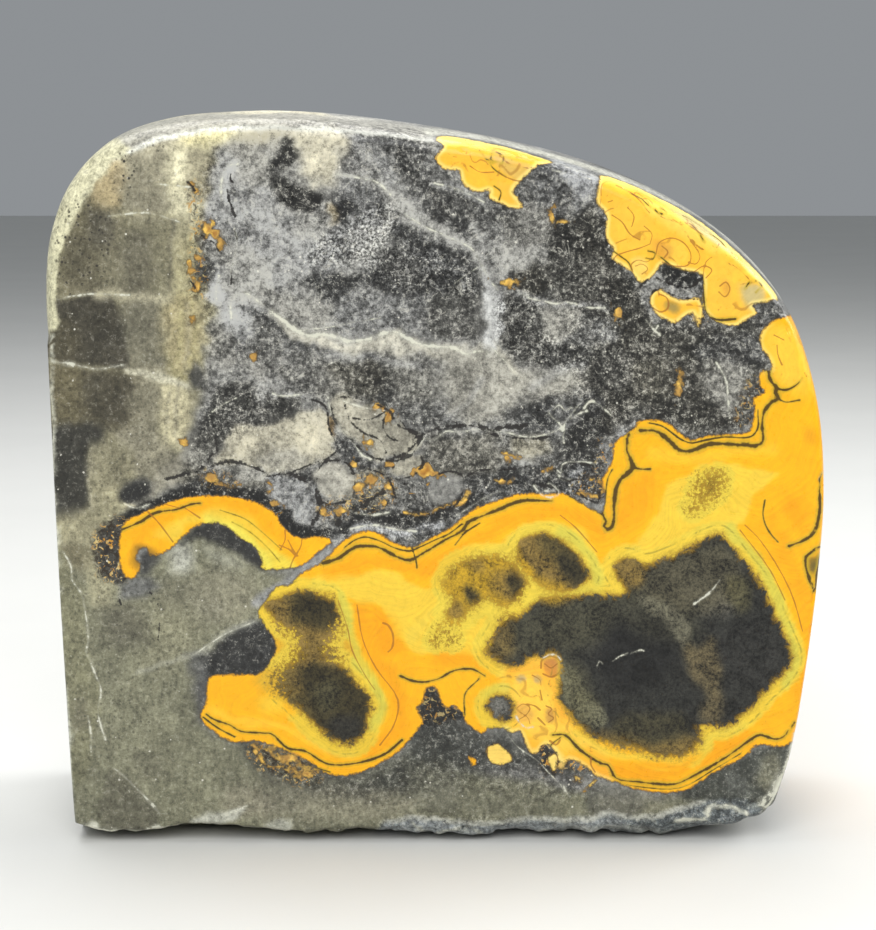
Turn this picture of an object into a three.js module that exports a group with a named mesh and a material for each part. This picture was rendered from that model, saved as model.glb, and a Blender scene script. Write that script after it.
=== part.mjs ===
// A bumblebee jasper freeform: one slab of banded volcanic calcite, sawn flat underneath so that it
// stands, with a flat polished face, a domed and polished top edge and a back that leans forward.
//
// Millimetres, +Z up. The face looks along -Y, +X is to the right of someone looking at the face,
// and the origin is the middle of the footprint, on the surface that the stone stands on.

import * as THREE from 'three';

// Driving dimensions
const FACE_Y = -16; // the flat front face
const FOOT_DEPTH = 32; // front to back along the base
const TOP_DEPTH = 25; // front to back at the top, because the back leans forward
const HEIGHT = 89;

// How the edge between face and back is shaped, as shares of the local bevel width
const FACE_BEVEL_DEPTH = 1.5; // how far the front bevel runs back, per mm of its width
const BACK_BEVEL_WIDTH = 1.3; // the back bevel's width, per mm of the front bevel's
const DOME_CROWN = 1.1; // how far the polished edge bulges between its bevels

// How finely each stretch is divided
const SAWN_SIDE_STEPS = 14;
const DOME_STEPS = 104;
const BASE_STEPS = 36;
const BEVEL_STEPS = 5;
const EDGE_STEPS = 4;

// The outline as [x, z, width of the front bevel], clockwise seen from the front.
// The left side is sawn and has a sharp arris.
const SAWN_SIDE = [
  [-44.4, 0, 0.7],
  [-45.5, 32, 0.3],
  [-46.2, 61.5, 0.3],
];

// The domed edge runs from the left shoulder over the top and down the right side to the base.
const DOME = [
  [-46.3, 62.5, 1.4],
  [-46.6, 67, 1.9],
  [-46.1, 74.5, 2.3],
  [-43.5, 81.2, 2.8],
  [-38.8, 85.9, 2.8],
  [-32.3, 88.2, 2.4],
  [-24, 89, 2],
  [-15, 88.9, 1.9],
  [-4, 87.7, 1.8],
  [9, 85.5, 1.7],
  [20.5, 82.3, 1.5],
  [30.2, 77.7, 1.5],
  [37.9, 72, 1.5],
  [43.4, 65, 1.4],
  [46.7, 55.5, 1.2],
  [47.8, 44.5, 1],
  [47.3, 35, 0.7],
  [45.8, 22, 0.5],
  [44, 11.5, 0.8],
  [41.2, 4.8, 1.7],
  [35.8, 1.7, 2.5],
  [27.5, 0, 2.7],
];

// The base is flat, and its front arris is broken away, most of all towards the right.
const BASE = [
  [26.5, 0, 2.7],
  [12, 0, 2.9],
  [0, 0, 2.5],
  [-10, 0, 1.6],
  [-20, 0, 1],
  [-30, 0, 1.5],
  [-42.4, 0, 0.7],
];

const backLean = (FOOT_DEPTH - TOP_DEPTH) / HEIGHT;
const backY = (z) => FACE_Y + FOOT_DEPTH - backLean * z;

// Samples of one stretch: x, z, bevel width, and crown, which fades out at the stretch's two ends.
function sampleStretch(stations, steps, crown) {
  const curve = new THREE.CatmullRomCurve3(
    stations.map(([x, z, bevel]) => new THREE.Vector3(x, z, bevel)),
    false,
    'centripetal',
  );
  return curve.getSpacedPoints(steps).map((at, i) => ({
    x: at.x,
    z: at.y,
    bevel: at.z,
    crown: crown * Math.sin((Math.PI * i) / steps),
  }));
}

// The outward direction at each sample, lengthened at corners so that an inset keeps its width.
function addOutwardMitres(samples) {
  const count = samples.length;
  samples.forEach((here, i) => {
    const before = samples[(i + count - 1) % count];
    const after = samples[(i + 1) % count];
    const arriving = new THREE.Vector2(before.z - here.z, here.x - before.x).normalize();
    const leaving = new THREE.Vector2(here.z - after.z, after.x - here.x).normalize();
    const middle = arriving.clone().add(leaving).normalize();
    here.outward = middle.divideScalar(Math.max(middle.dot(leaving), 0.5));
  });
  return samples;
}

function outlineSamples() {
  return addOutwardMitres([
    ...sampleStretch(SAWN_SIDE, SAWN_SIDE_STEPS, 0),
    ...sampleStretch(DOME, DOME_STEPS, DOME_CROWN),
    ...sampleStretch(BASE, BASE_STEPS, 0),
  ]);
}

// The profile from the face's rim to the back's rim, as functions of a sample: how far in from the
// outline each ring lies, and how far behind the face or in front of the back.
function profileRings() {
  const rings = [];
  for (let i = 0; i <= BEVEL_STEPS; i++) {
    const turn = (Math.PI / 2) * (i / BEVEL_STEPS);
    rings.push({
      inset: (s) => s.crown + s.bevel * (1 - Math.sin(turn)),
      y: (s) => FACE_Y + s.bevel * FACE_BEVEL_DEPTH * (1 - Math.cos(turn)),
    });
  }
  for (let i = 1; i < EDGE_STEPS; i++) {
    const along = i / EDGE_STEPS;
    rings.push({
      inset: (s) => s.crown * (2 * along - 1) ** 2,
      y: (s, z) =>
        THREE.MathUtils.lerp(
          FACE_Y + s.bevel * FACE_BEVEL_DEPTH,
          backY(z) - s.bevel * BACK_BEVEL_WIDTH,
          along,
        ),
    });
  }
  for (let i = BEVEL_STEPS; i >= 0; i--) {
    const turn = (Math.PI / 2) * (i / BEVEL_STEPS);
    rings.push({
      inset: (s) => s.crown + s.bevel * BACK_BEVEL_WIDTH * (1 - Math.sin(turn)),
      y: (s, z) => backY(z) - s.bevel * BACK_BEVEL_WIDTH * (1 - Math.cos(turn)),
    });
  }
  return rings;
}

function stoneGeometry() {
  const samples = outlineSamples();
  const rings = profileRings();
  const around = samples.length;
  const positions = [];
  for (const ring of rings) {
    for (const s of samples) {
      const x = s.x - s.outward.x * ring.inset(s);
      const z = s.z - s.outward.y * ring.inset(s);
      positions.push(x, ring.y(s, z), z);
    }
  }

  const index = [];
  for (let r = 0; r + 1 < rings.length; r++) {
    for (let i = 0; i < around; i++) {
      const a = r * around + i;
      const b = r * around + ((i + 1) % around);
      index.push(a, b, a + around, b, b + around, a + around);
    }
  }

  // Both rims lie in a plane, so a flat cap closes each of them.
  const lastRing = (rings.length - 1) * around;
  const rimOf = (first) =>
    samples.map((_, i) => {
      const at = 3 * (first + i);
      return new THREE.Vector2(positions[at], positions[at + 2]);
    });
  for (const [a, b, c] of THREE.ShapeUtils.triangulateShape(rimOf(0), [])) {
    index.push(a, b, c);
  }
  for (const [a, b, c] of THREE.ShapeUtils.triangulateShape(rimOf(lastRing), [])) {
    index.push(lastRing + a, lastRing + c, lastRing + b);
  }

  const geometry = new THREE.BufferGeometry();
  geometry.setAttribute('position', new THREE.Float32BufferAttribute(positions, 3));
  geometry.setIndex(index);
  geometry.computeBoundingBox();
  const { min, max } = geometry.boundingBox;
  geometry.translate(-(min.x + max.x) / 2, -(min.y + max.y) / 2, -min.z);
  geometry.computeVertexNormals();
  return geometry;
}

const polishedJasper = new THREE.MeshStandardMaterial({
  name: 'polished_jasper',
  color: 0x8a8268,
  roughness: 0.3,
  metalness: 0,
});

const stone = new THREE.Mesh(stoneGeometry(), polishedJasper);
stone.name = 'jasper_slab';

const freeform = new THREE.Group();
freeform.name = 'bumblebee_jasper_freeform';
freeform.add(stone);

export default freeform;
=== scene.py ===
"""Looks of the bumblebee jasper freeform: one polished slab of banded volcanic calcite.

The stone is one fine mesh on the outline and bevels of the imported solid. Its markings are painted on
the mesh as clouds, strokes, bands and lines, whose places are written in pixels of the photograph and
carried on to the face through the scene's own camera. The same pattern drifts sideways with depth, so
that the bands run on through the edge to the back. Lengths are millimetres until the mesh is made.
"""

import math

import bpy
import numpy as np
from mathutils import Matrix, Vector
from mathutils.geometry import delaunay_2d_cdt


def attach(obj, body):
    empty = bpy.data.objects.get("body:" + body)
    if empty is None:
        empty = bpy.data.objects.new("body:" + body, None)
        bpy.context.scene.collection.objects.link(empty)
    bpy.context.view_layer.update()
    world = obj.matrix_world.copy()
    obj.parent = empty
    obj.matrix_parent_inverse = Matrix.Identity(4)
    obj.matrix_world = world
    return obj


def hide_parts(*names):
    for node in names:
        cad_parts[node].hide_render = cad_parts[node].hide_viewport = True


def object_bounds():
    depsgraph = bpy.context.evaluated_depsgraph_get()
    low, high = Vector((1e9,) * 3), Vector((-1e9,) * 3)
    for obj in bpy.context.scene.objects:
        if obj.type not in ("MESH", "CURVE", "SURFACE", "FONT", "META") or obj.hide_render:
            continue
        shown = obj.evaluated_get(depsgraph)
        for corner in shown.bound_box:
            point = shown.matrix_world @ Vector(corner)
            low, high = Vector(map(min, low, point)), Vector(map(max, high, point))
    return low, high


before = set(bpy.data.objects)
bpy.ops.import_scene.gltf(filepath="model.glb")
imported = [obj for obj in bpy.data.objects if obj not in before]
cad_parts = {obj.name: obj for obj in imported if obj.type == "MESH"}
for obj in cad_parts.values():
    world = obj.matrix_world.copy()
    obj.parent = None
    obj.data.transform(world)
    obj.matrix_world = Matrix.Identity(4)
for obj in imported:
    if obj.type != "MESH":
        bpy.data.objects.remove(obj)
cad_low, cad_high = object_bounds()

MM = 0.001  # metres in a millimetre
FACE_Y = cad_low.y / MM  # the polished face
BACK_FOOT_Y = cad_high.y / MM  # the back, along the base
HEIGHT = cad_high.z / MM
TOP_DEPTH = 25.0  # front to back at the top, because the back leans forward
BACK_LEAN = (BACK_FOOT_Y - FACE_Y - TOP_DEPTH) / HEIGHT

# ---------------------------------------------------------------------------------------------
# Camera
# ---------------------------------------------------------------------------------------------

PHOTO_WIDTH = 876  # pixels
PHOTO_HEIGHT = 930
MM_PER_PIXEL = 0.12  # on the face, at the middle of the photograph
CAMERA_ELEVATION = math.radians(9)
CAMERA_DISTANCE = 280.0
CAMERA_AIM = np.array([-0.25, FACE_Y, 47.1])
SENSOR = 36.0  # Blender's sensor width, which spans the photograph's longer side

focal_pixels = CAMERA_DISTANCE / MM_PER_PIXEL
camera_forward = np.array([0, math.cos(CAMERA_ELEVATION), -math.sin(CAMERA_ELEVATION)])
camera_up = np.array([0, math.sin(CAMERA_ELEVATION), math.cos(CAMERA_ELEVATION)])
camera_place = CAMERA_AIM - camera_forward * CAMERA_DISTANCE


def add_object(name, data):
    thing = bpy.data.objects.new(name, data)
    bpy.context.scene.collection.objects.link(thing)
    return thing


def add_camera():
    data = bpy.data.cameras.new("camera")
    data.lens = SENSOR * focal_pixels / PHOTO_HEIGHT
    camera = add_object("camera", data)
    camera.location = Vector(camera_place * MM)
    camera.rotation_euler = (math.pi / 2 - CAMERA_ELEVATION, 0, 0)
    bpy.context.scene.camera = camera


def face_from_pixels(pixels):
    """The x and z on the face that the camera sees at these pixels of the photograph."""
    across = pixels[:, 0] - PHOTO_WIDTH / 2
    down = pixels[:, 1] - PHOTO_HEIGHT / 2
    rays = camera_forward * focal_pixels - camera_up * down[:, None]
    rays[:, 0] += across
    reach = (FACE_Y - camera_place[1]) / rays[:, 1]
    return (camera_place + rays * reach[:, None])[:, [0, 2]]


def pixels_from_face(x, z):
    """The pixels of the photograph at which the camera sees these places on the face."""
    away = np.stack([x, np.full_like(x, FACE_Y), z], -1) - camera_place
    depth = away @ camera_forward
    across = PHOTO_WIDTH / 2 + focal_pixels * away[:, 0] / depth
    down = PHOTO_HEIGHT / 2 - focal_pixels * (away @ camera_up) / depth
    return np.stack([across, down], -1)


# ---------------------------------------------------------------------------------------------
# Curves, distances and noise
# ---------------------------------------------------------------------------------------------


def smooth_curve(points, closed=False, per_span=4):
    """A centripetal Catmull-Rom curve through the points."""
    p = np.array(points, float)
    if closed:
        p = np.vstack([p[-1], p, p[:2]])
    else:
        p = np.vstack([2 * p[0] - p[1], p, 2 * p[-1] - p[-2]])
    spans = []
    for a, b, c, d in zip(p, p[1:], p[2:], p[3:]):
        t1 = np.linalg.norm(b - a) ** 0.5
        t2 = t1 + np.linalg.norm(c - b) ** 0.5
        t3 = t2 + np.linalg.norm(d - c) ** 0.5
        t = np.linspace(t1, t2, per_span, endpoint=False)[:, None]
        ab = ((t1 - t) * a + t * b) / t1
        bc = ((t2 - t) * b + (t - t1) * c) / (t2 - t1)
        cd = ((t3 - t) * c + (t - t2) * d) / (t3 - t2)
        abc = ((t2 - t) * ab + t * bc) / t2
        bcd = ((t3 - t) * bc + (t - t1) * cd) / (t3 - t1)
        spans.append(((t2 - t) * abc + (t - t1) * bcd) / (t2 - t1))
    if not closed:
        spans.append(p[-2][None])
    return np.vstack(spans)


def even_steps(curve, step):
    """Points evenly spaced along the curve, both ends included, about that far apart."""
    lengths = np.linalg.norm(np.diff(curve[:, :2], axis=0), axis=1)
    along = np.concatenate([[0], np.cumsum(lengths)])
    stops = np.linspace(0, along[-1], max(int(round(along[-1] / step)), 1) + 1)
    return np.stack([np.interp(stops, along, column) for column in curve.T], -1)


def gap_to_route(points, route):
    """How far each point is from an open route."""
    nearest = np.full(len(points), np.inf)
    for a, b in zip(route, route[1:]):
        span = b - a
        t = np.clip((points - a) @ span / max(span @ span, 1e-9), 0, 1)
        away = points - a - t[:, None] * span
        nearest = np.minimum(nearest, away[:, 0] ** 2 + away[:, 1] ** 2)
    return np.sqrt(nearest)


def depth_inside(points, outline):
    """Signed distance to a closed outline, positive inside."""
    closed = np.vstack([outline, outline[:1]])
    inside = np.zeros(len(points), bool)
    for (ax, ay), (bx, by) in zip(closed, closed[1:]):
        if ay != by:
            crosses = (ay > points[:, 1]) != (by > points[:, 1])
            at = ax + (points[:, 1] - ay) / (by - ay) * (bx - ax)
            inside ^= crosses & (points[:, 0] < at)
    gap = gap_to_route(points, closed)
    return np.where(inside, gap, -gap)


def fade(low, high, value):
    """0 below low, 1 above high, and smooth between."""
    t = np.clip((value - low) / (high - low), 0, 1)
    return t * t * (3 - 2 * t)


def ellipse_size(points, x, y, half_width, half_height):
    """0 in the middle of an ellipse, 1 on it and more outside."""
    return np.hypot((points[:, 0] - x) / half_width, (points[:, 1] - y) / half_height)


NOISE_SEED = 11
NOISE_CELLS = 64  # the noise repeats after this many of its cells
OCTAVE_SHIFT = 17.3  # cells between octaves, so that they don't line up
PAIR_SHIFT = 50  # millimetres between the two noises of a pair
noise_lattice = np.random.default_rng(NOISE_SEED).uniform(-1, 1, (NOISE_CELLS,) * 3)


def noise(points, size, octaves=2):
    """Smooth noise, mostly between -1 and 1, with features of about that size."""
    total = np.zeros(len(points))
    for octave in range(octaves):
        p = points * 2**octave / size + OCTAVE_SHIFT * octave
        cell = np.floor(p).astype(int)
        t = p - cell
        t = t * t * (3 - 2 * t)
        for corner in np.ndindex(2, 2, 2):
            weight = np.prod(np.where(corner, t, 1 - t), axis=1)
            i, j, k = ((cell + corner) % NOISE_CELLS).T
            total += weight * noise_lattice[i, j, k] / 2**octave
    return total


def noise_pair(points, size, octaves=2):
    """Two unlike noises side by side, to shift points in two directions."""
    return np.stack([noise(points, size, octaves), noise(points + PAIR_SHIFT, size, octaves)], -1)


# ---------------------------------------------------------------------------------------------
# The stone's shape
# ---------------------------------------------------------------------------------------------

# The outline as x, z and the width of the front bevel, clockwise from the lower left. It follows the
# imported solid, and is finer than that at the lower right corner.
SAWN_SIDE = [(-44.4, 0, 0.7), (-45.5, 32, 0.3), (-46.2, 61.5, 0.3)]
DOME = [
    (-46.3, 62.5, 1.4), (-46.6, 67, 1.9), (-46.1, 74.5, 2.3), (-43.5, 81.2, 2.8), (-38.8, 85.9, 2.8),
    (-32.3, 88.2, 2.4), (-24, 89, 2), (-15, 88.9, 1.9), (-4, 87.7, 1.8), (9, 85.5, 1.7), (20.5, 82.3, 1.5),
    (30.2, 77.7, 1.5), (37.9, 72, 1.5), (43.4, 65, 1.4), (46.7, 55.5, 1.2), (47.8, 44.5, 1),
    (47.3, 35, 0.7), (45.8, 22, 0.5), (44.1, 11.5, 0.8), (42.8, 6.8, 0.9), (41.9, 4.3, 0.9),
    (40.0, 2.9, 1.2), (37.7, 1.9, 1.6), (34.0, 0.9, 1.9), (27.5, 0, 2.2),
]
BASE = [
    (26.5, 0, 2.7), (12, 0, 2.9), (0, 0, 2.5), (-10, 0, 1.6), (-20, 0, 1), (-30, 0, 1.5), (-42.4, 0, 0.7),
]
OUTLINE_MIDDLE = 0.606  # how far the outline's own middle is from the frame's, in x
SHARP_CORNER = 1.2  # samples this close to the sawn side's foot would fold over it
FACE_BEVEL_DEPTH = 1.5  # how far the front bevel runs back, per mm of its width
BACK_BEVEL_WIDTH = 1.3  # the back bevel's width, per mm of the front bevel's
DOME_CROWN = 1.1  # how far the polished edge bulges between its bevels

# How fine the mesh is
OUTLINE_STEP = 0.5
OUTLINE_PER_SPAN = 16  # points of the curve from one outline point to the next
FACE_STEP = 0.4
BACK_STEP = 1.2
LINE_STEP = 2.4  # pixels, along the drawn lines
FRONT_BEVEL_RINGS = 14
EDGE_RINGS = 24
BACK_BEVEL_RINGS = 5

# How the inner points of the face and back lie, in steps of the mesh
GRID_JITTER = 0.2
RIM_CLEARANCE = 0.5
ROUTE_CLEARANCE = 0.8
BESIDE_ROUTE = 0.55
ROUTE_RIM_CLEARANCE = 1.5
FACE_SEED = 1
BACK_SEED = 2
FLECK_POINTS = 11  # points of a fleck's outline

# The arris that is broken away, from the middle of the base to the lower right
BROKEN_START_X = -14.0
BROKEN_TOP_Z = 14.0
BROKEN_RUN_IN = 8.0  # how far to the left of its start the break sets in
BROKEN_RUN_OUT = 6.0  # and how far below its top it is complete
BROKEN_BEVEL_SWING = 0.22  # how much the bevel's width varies there, as a share of it
BROKEN_SWING_LENGTH = 2.6
BEVEL_SWING = 0.12  # and everywhere
BEVEL_SWING_LENGTH = 5.0
LONGEST_MITRE = 0.5  # the least cosine that a corner's mitre is worked out for


def outline_samples():
    """Columns: x, z, front bevel, crown, outward x, outward z."""
    side, dome, base = (
        even_steps(smooth_curve(part, per_span=OUTLINE_PER_SPAN), OUTLINE_STEP)
        for part in (SAWN_SIDE, DOME, BASE)
    )
    side = side[(side[:, 1] == 0) | (side[:, 1] > SHARP_CORNER)]
    crown = DOME_CROWN * np.sin(np.pi * np.linspace(0, 1, len(dome)))
    crowns = np.concatenate([np.zeros(len(side)), crown, np.zeros(len(base))])
    places = np.vstack([side, dome, base])
    places[:, 0] -= OUTLINE_MIDDLE

    x, z = places[:, 0], places[:, 1]
    broken = fade(BROKEN_START_X - BROKEN_RUN_IN, BROKEN_START_X, x)
    broken *= fade(BROKEN_TOP_Z, BROKEN_TOP_Z - BROKEN_RUN_OUT, z)
    flat = np.column_stack([x, z, np.zeros_like(x)])
    broken_swing = BROKEN_BEVEL_SWING * noise(flat, BROKEN_SWING_LENGTH) * broken
    places[:, 2] *= 1 + broken_swing + BEVEL_SWING * noise(flat, BEVEL_SWING_LENGTH)

    arriving = places[:, :2] - np.roll(places[:, :2], 1, axis=0)
    arriving = np.stack([-arriving[:, 1], arriving[:, 0]], -1)
    arriving /= np.linalg.norm(arriving, axis=1)[:, None]
    leaving = np.roll(arriving, -1, axis=0)
    outward = arriving + leaving
    outward /= np.linalg.norm(outward, axis=1)[:, None]
    outward /= np.maximum(np.sum(outward * leaving, axis=1), LONGEST_MITRE)[:, None]
    return np.column_stack([places, crowns, outward])


def profile_rings(samples):
    """The loft from the face's rim to the back's: each ring's points and its share of the front bevel."""
    x, z, bevel, crown, out_x, out_z = samples.T
    back_y = BACK_FOOT_Y - BACK_LEAN * z
    rings = []

    def add_ring(inset, y, bevel_share):
        rings.append((np.stack([x - out_x * inset, y, z - out_z * inset], -1), bevel_share))

    for i in range(FRONT_BEVEL_RINGS + 1):
        turn = math.pi / 2 * i / FRONT_BEVEL_RINGS
        inset = crown + bevel * (1 - math.sin(turn))
        y = FACE_Y + bevel * FACE_BEVEL_DEPTH * (1 - math.cos(turn))
        add_ring(inset, y, i / FRONT_BEVEL_RINGS)
    for i in range(1, EDGE_RINGS):
        along = i / EDGE_RINGS
        front_y = FACE_Y + bevel * FACE_BEVEL_DEPTH
        y = front_y + (back_y - bevel * BACK_BEVEL_WIDTH - front_y) * along
        add_ring(crown * (2 * along - 1) ** 2, y, 1)
    for i in range(BACK_BEVEL_RINGS, -1, -1):
        turn = math.pi / 2 * i / BACK_BEVEL_RINGS
        inset = crown + bevel * BACK_BEVEL_WIDTH * (1 - math.sin(turn))
        add_ring(inset, back_y - bevel * BACK_BEVEL_WIDTH * (1 - math.cos(turn)), 1)
    return rings


def beside(route, gap):
    """Points on both sides of a route, that far from it."""
    along = np.gradient(route, axis=0)
    across = np.stack([-along[:, 1], along[:, 0]], -1)
    across *= gap / np.maximum(np.linalg.norm(across, axis=1), 1e-9)[:, None]
    return np.vstack([route + across, route - across])


def fill_rim(rim, step, routes, seed):
    """Triangles over the inside of a rim, with their inner points. Routes are kept as edges."""
    low, high = rim.min(axis=0), rim.max(axis=0)
    columns = np.arange(low[0], high[0], step)
    rows = np.arange(low[1], high[1], step * math.sqrt(3) / 2)
    grid = np.stack(np.meshgrid(columns, rows), -1)
    grid[1::2, :, 0] += step / 2
    grid = grid.reshape(-1, 2)
    grid += np.random.default_rng(seed).uniform(-GRID_JITTER, GRID_JITTER, grid.shape) * step
    grid = grid[depth_inside(grid, rim) > step * RIM_CLEARANCE]
    for route in routes:
        near = np.all((grid > route.min(axis=0) - step) & (grid < route.max(axis=0) + step), axis=1)
        close = np.zeros(len(grid), bool)
        close[near] = gap_to_route(grid[near], route) < step * ROUTE_CLEARANCE
        grid = grid[~close]

    count = len(rim)
    edges = [(i, (i + 1) % count) for i in range(count)]
    points = [rim, grid]
    total = count + len(grid)
    for route in routes:
        edges += [(total + i, total + i + 1) for i in range(len(route) - 1)]
        points += [route, beside(route, step * BESIDE_ROUTE)]
        total += 3 * len(route)
    flat = [Vector(p) for p in np.vstack(points)]
    places, _, faces, origins, _, _ = delaunay_2d_cdt(flat, edges, [], 1, 1e-4)
    numbers = np.array([origin[0] if origin else total for origin in origins])
    on_rim = numbers < count
    inner = np.array([tuple(p) for p in places])[~on_rim]
    index = np.where(on_rim, numbers, count + np.cumsum(~on_rim) - 1)
    return inner, index[np.array(faces)]


# ---------------------------------------------------------------------------------------------
# Colours
# ---------------------------------------------------------------------------------------------


def tint(red, green, blue):
    """A colour as a screen shows it, each part from 0 to 255."""
    return np.array([red, green, blue]) / 255


def ash(tone, warmth=0.0):
    """A grey of the volcanic ash, from 0 to 1, warmer or cooler."""
    return tone * np.array([1 + 0.015 * warmth, 1, 0.982 - 0.045 * warmth])


# Yellow bands of arsenic sulphide
ORANGE = tint(241, 172, 16)
DEEP_ORANGE = tint(234, 148, 4)
WARM_YELLOW = tint(246, 192, 58)
PALE_YELLOW = tint(226, 193, 64)
LIME = tint(196, 188, 74)
RIM_YELLOW = tint(216, 193, 66)
CREAM_YELLOW = tint(250, 228, 135)
RUST = tint(176, 108, 26)
CRUMB_BROWN = tint(140, 84, 20)
CRUMB_YELLOW = tint(226, 176, 72)

# Cores of the bands
CORE_BLACK = tint(34, 34, 31)
CORE_UMBER = tint(70, 60, 30)
DARK_UMBER = tint(42, 37, 20)
CORE_OLIVE = tint(74, 71, 50)
CORE_BROWN = tint(108, 88, 42)
CORE_GOLD = tint(164, 130, 26)

# Under all the ash
ASH_BASE = ash(0.42, 0.3)

# Calcite on the left and below
CALCITE = tint(120, 116, 94)
OLIVE_GREY = tint(115, 114, 94)
BEIGE = tint(160, 154, 124)
YELLOW_BEIGE = tint(160, 152, 112)
PALE_BEIGE = tint(200, 193, 165)
CREAM = tint(226, 216, 158)
TAN = tint(180, 162, 122)
WARM_GREY = tint(140, 135, 116)
OLIVE = tint(88, 82, 62)
SMOKE = tint(80, 77, 66)
DARK_OLIVE = tint(60, 57, 48)
FACET = tint(120, 118, 93)
PALE_GREY = tint(182, 182, 170)
MILK = tint(200, 200, 184)
# A painted highlight on the bevel of the top rim
RIM_HIGHLIGHT_CREAM = tint(200, 196, 164)
RIM_HIGHLIGHT_WHITE = tint(222, 222, 210)
# A painted highlight: the bright line along the top edge
SLATE = tint(62, 63, 59)
SLATE_BLUE = tint(96, 102, 104)
BROWN = tint(96, 74, 42)

# Grains, lines and edges that the material adds
SALT_WHITE = ash(0.72, 1)
ASH_BLACK = ash(0.16, 1)
WISP_WHITE = ash(0.74, 1)
GLINT_WHITE = ash(0.85, 1)
PEPPER_BLACK = tint(50, 47, 41)
SOIL_BROWN = tint(46, 38, 28)
CRUMB_OCHRE = tint(180, 128, 44)
PALE_CRUMB = tint(196, 176, 120)
VEIN_HALO = tint(190, 189, 172)
VEIN_WHITE = tint(212, 211, 194)
CRACK_BLACK = tint(34, 31, 29)
DIRT_BROWN = tint(168, 120, 40)
RING_BROWN = tint(158, 106, 34)
CONTOUR_HALO = tint(176, 152, 40)
CONTOUR_BROWN = tint(52, 36, 10)
RUST_BROWN = tint(148, 92, 30)
HAIRLINE_GREEN = tint(120, 112, 40)
FRINGE_GOLD = tint(160, 132, 40)
EDGE_GOLD = tint(146, 114, 28)
BORDER_BROWN = tint(78, 64, 38)

# ---------------------------------------------------------------------------------------------
# Markings, all in pixels of the photograph
# ---------------------------------------------------------------------------------------------

# The main yellow band, clockwise. It runs on past the right side, into the dome.
MAIN_BAND = [
    (303, 572), (318, 565), (328, 556), (341, 543), (357, 533), (366, 531), (377, 533), (395, 543),
    (412, 547), (430, 538), (450, 528), (465, 516), (480, 506), (500, 500), (518, 494), (545, 494),
    (560, 493), (570, 496), (590, 508), (600, 513), (604, 508), (605, 495), (602, 480), (608, 470),
    (613, 458), (614, 446), (619, 438), (635, 428), (638, 422), (645, 420), (665, 422), (680, 433),
    (692, 440), (710, 435), (740, 434), (748, 432), (753, 420), (754, 405), (752, 399), (765, 392),
    (760, 385), (761, 371), (771, 370), (770, 360), (760, 345), (763, 330), (773, 321), (787, 316),
    (850, 300), (950, 330), (970, 520), (960, 660), (900, 730), (830, 738), (795, 741), (780, 747),
    (758, 745), (745, 756), (715, 772), (682, 791), (640, 790), (618, 783), (597, 776), (583, 765),
    (570, 759), (564, 763), (558, 760), (556, 752), (546, 744), (536, 753), (530, 752), (519, 731),
    (513, 733), (502, 728), (487, 729), (482, 733), (468, 725), (461, 712), (452, 705), (447, 708),
    (441, 702), (438, 692), (432, 686), (427, 688), (422, 703), (417, 709), (423, 721), (416, 732),
    (398, 752), (380, 763), (355, 774), (328, 774), (310, 762), (280, 748), (255, 741), (232, 742),
    (214, 732), (201, 718), (206, 700), (207, 683), (210, 677), (240, 674), (258, 674), (270, 662),
    (276, 645), (268, 630), (258, 612), (265, 602), (275, 588), (290, 584),
]

# The arch of the same yellow at the left
ARCH = [
    (125, 577), (135, 577), (140, 565), (136, 558), (138, 551), (145, 547), (150, 555), (158, 555),
    (170, 549), (186, 534), (195, 527), (205, 523), (224, 525), (240, 538), (254, 546), (262, 561),
    (262, 569), (280, 569), (300, 566), (320, 551), (331, 541), (318, 536), (300, 538), (284, 528),
    (272, 511), (252, 501), (228, 496), (200, 496), (180, 499), (160, 505), (140, 514), (125, 522),
    (119, 545),
]

# Patches of yellow at the top and upper right
PATCH_TOP = [
    (437, 138), (442, 131), (455, 128), (485, 134), (515, 140), (545, 152), (556, 160), (540, 164),
    (530, 172), (519, 182), (513, 191), (519, 200), (523, 207), (510, 208), (500, 203), (489, 197),
    (490, 190), (478, 192), (463, 184), (459, 171), (445, 169), (435, 158), (444, 145),
]
PATCH_SHOULDER = [
    (601, 178), (608, 168), (635, 172), (665, 188), (700, 208), (735, 240), (765, 270), (785, 294),
    (770, 301), (760, 303), (752, 305), (757, 313), (745, 320), (735, 326), (712, 319), (703, 306),
    (702, 276), (682, 270), (662, 264), (655, 273), (642, 283), (629, 270), (612, 258), (613, 248),
    (606, 238), (606, 214), (597, 204), (596, 197),
]
PATCH_SMALL = [
    (652, 293), (660, 289), (670, 295), (683, 300), (698, 298), (703, 308), (698, 327), (693, 313),
    (685, 316), (675, 323), (662, 318), (651, 306),
]
ISLANDS = [
    [(487, 747), (498, 744), (508, 752), (512, 760), (503, 765), (490, 761)],
    [(468, 757), (475, 759), (477, 763), (472, 766)],
    [(550, 755), (556, 754), (557, 763), (554, 771), (548, 762)],
]

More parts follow.
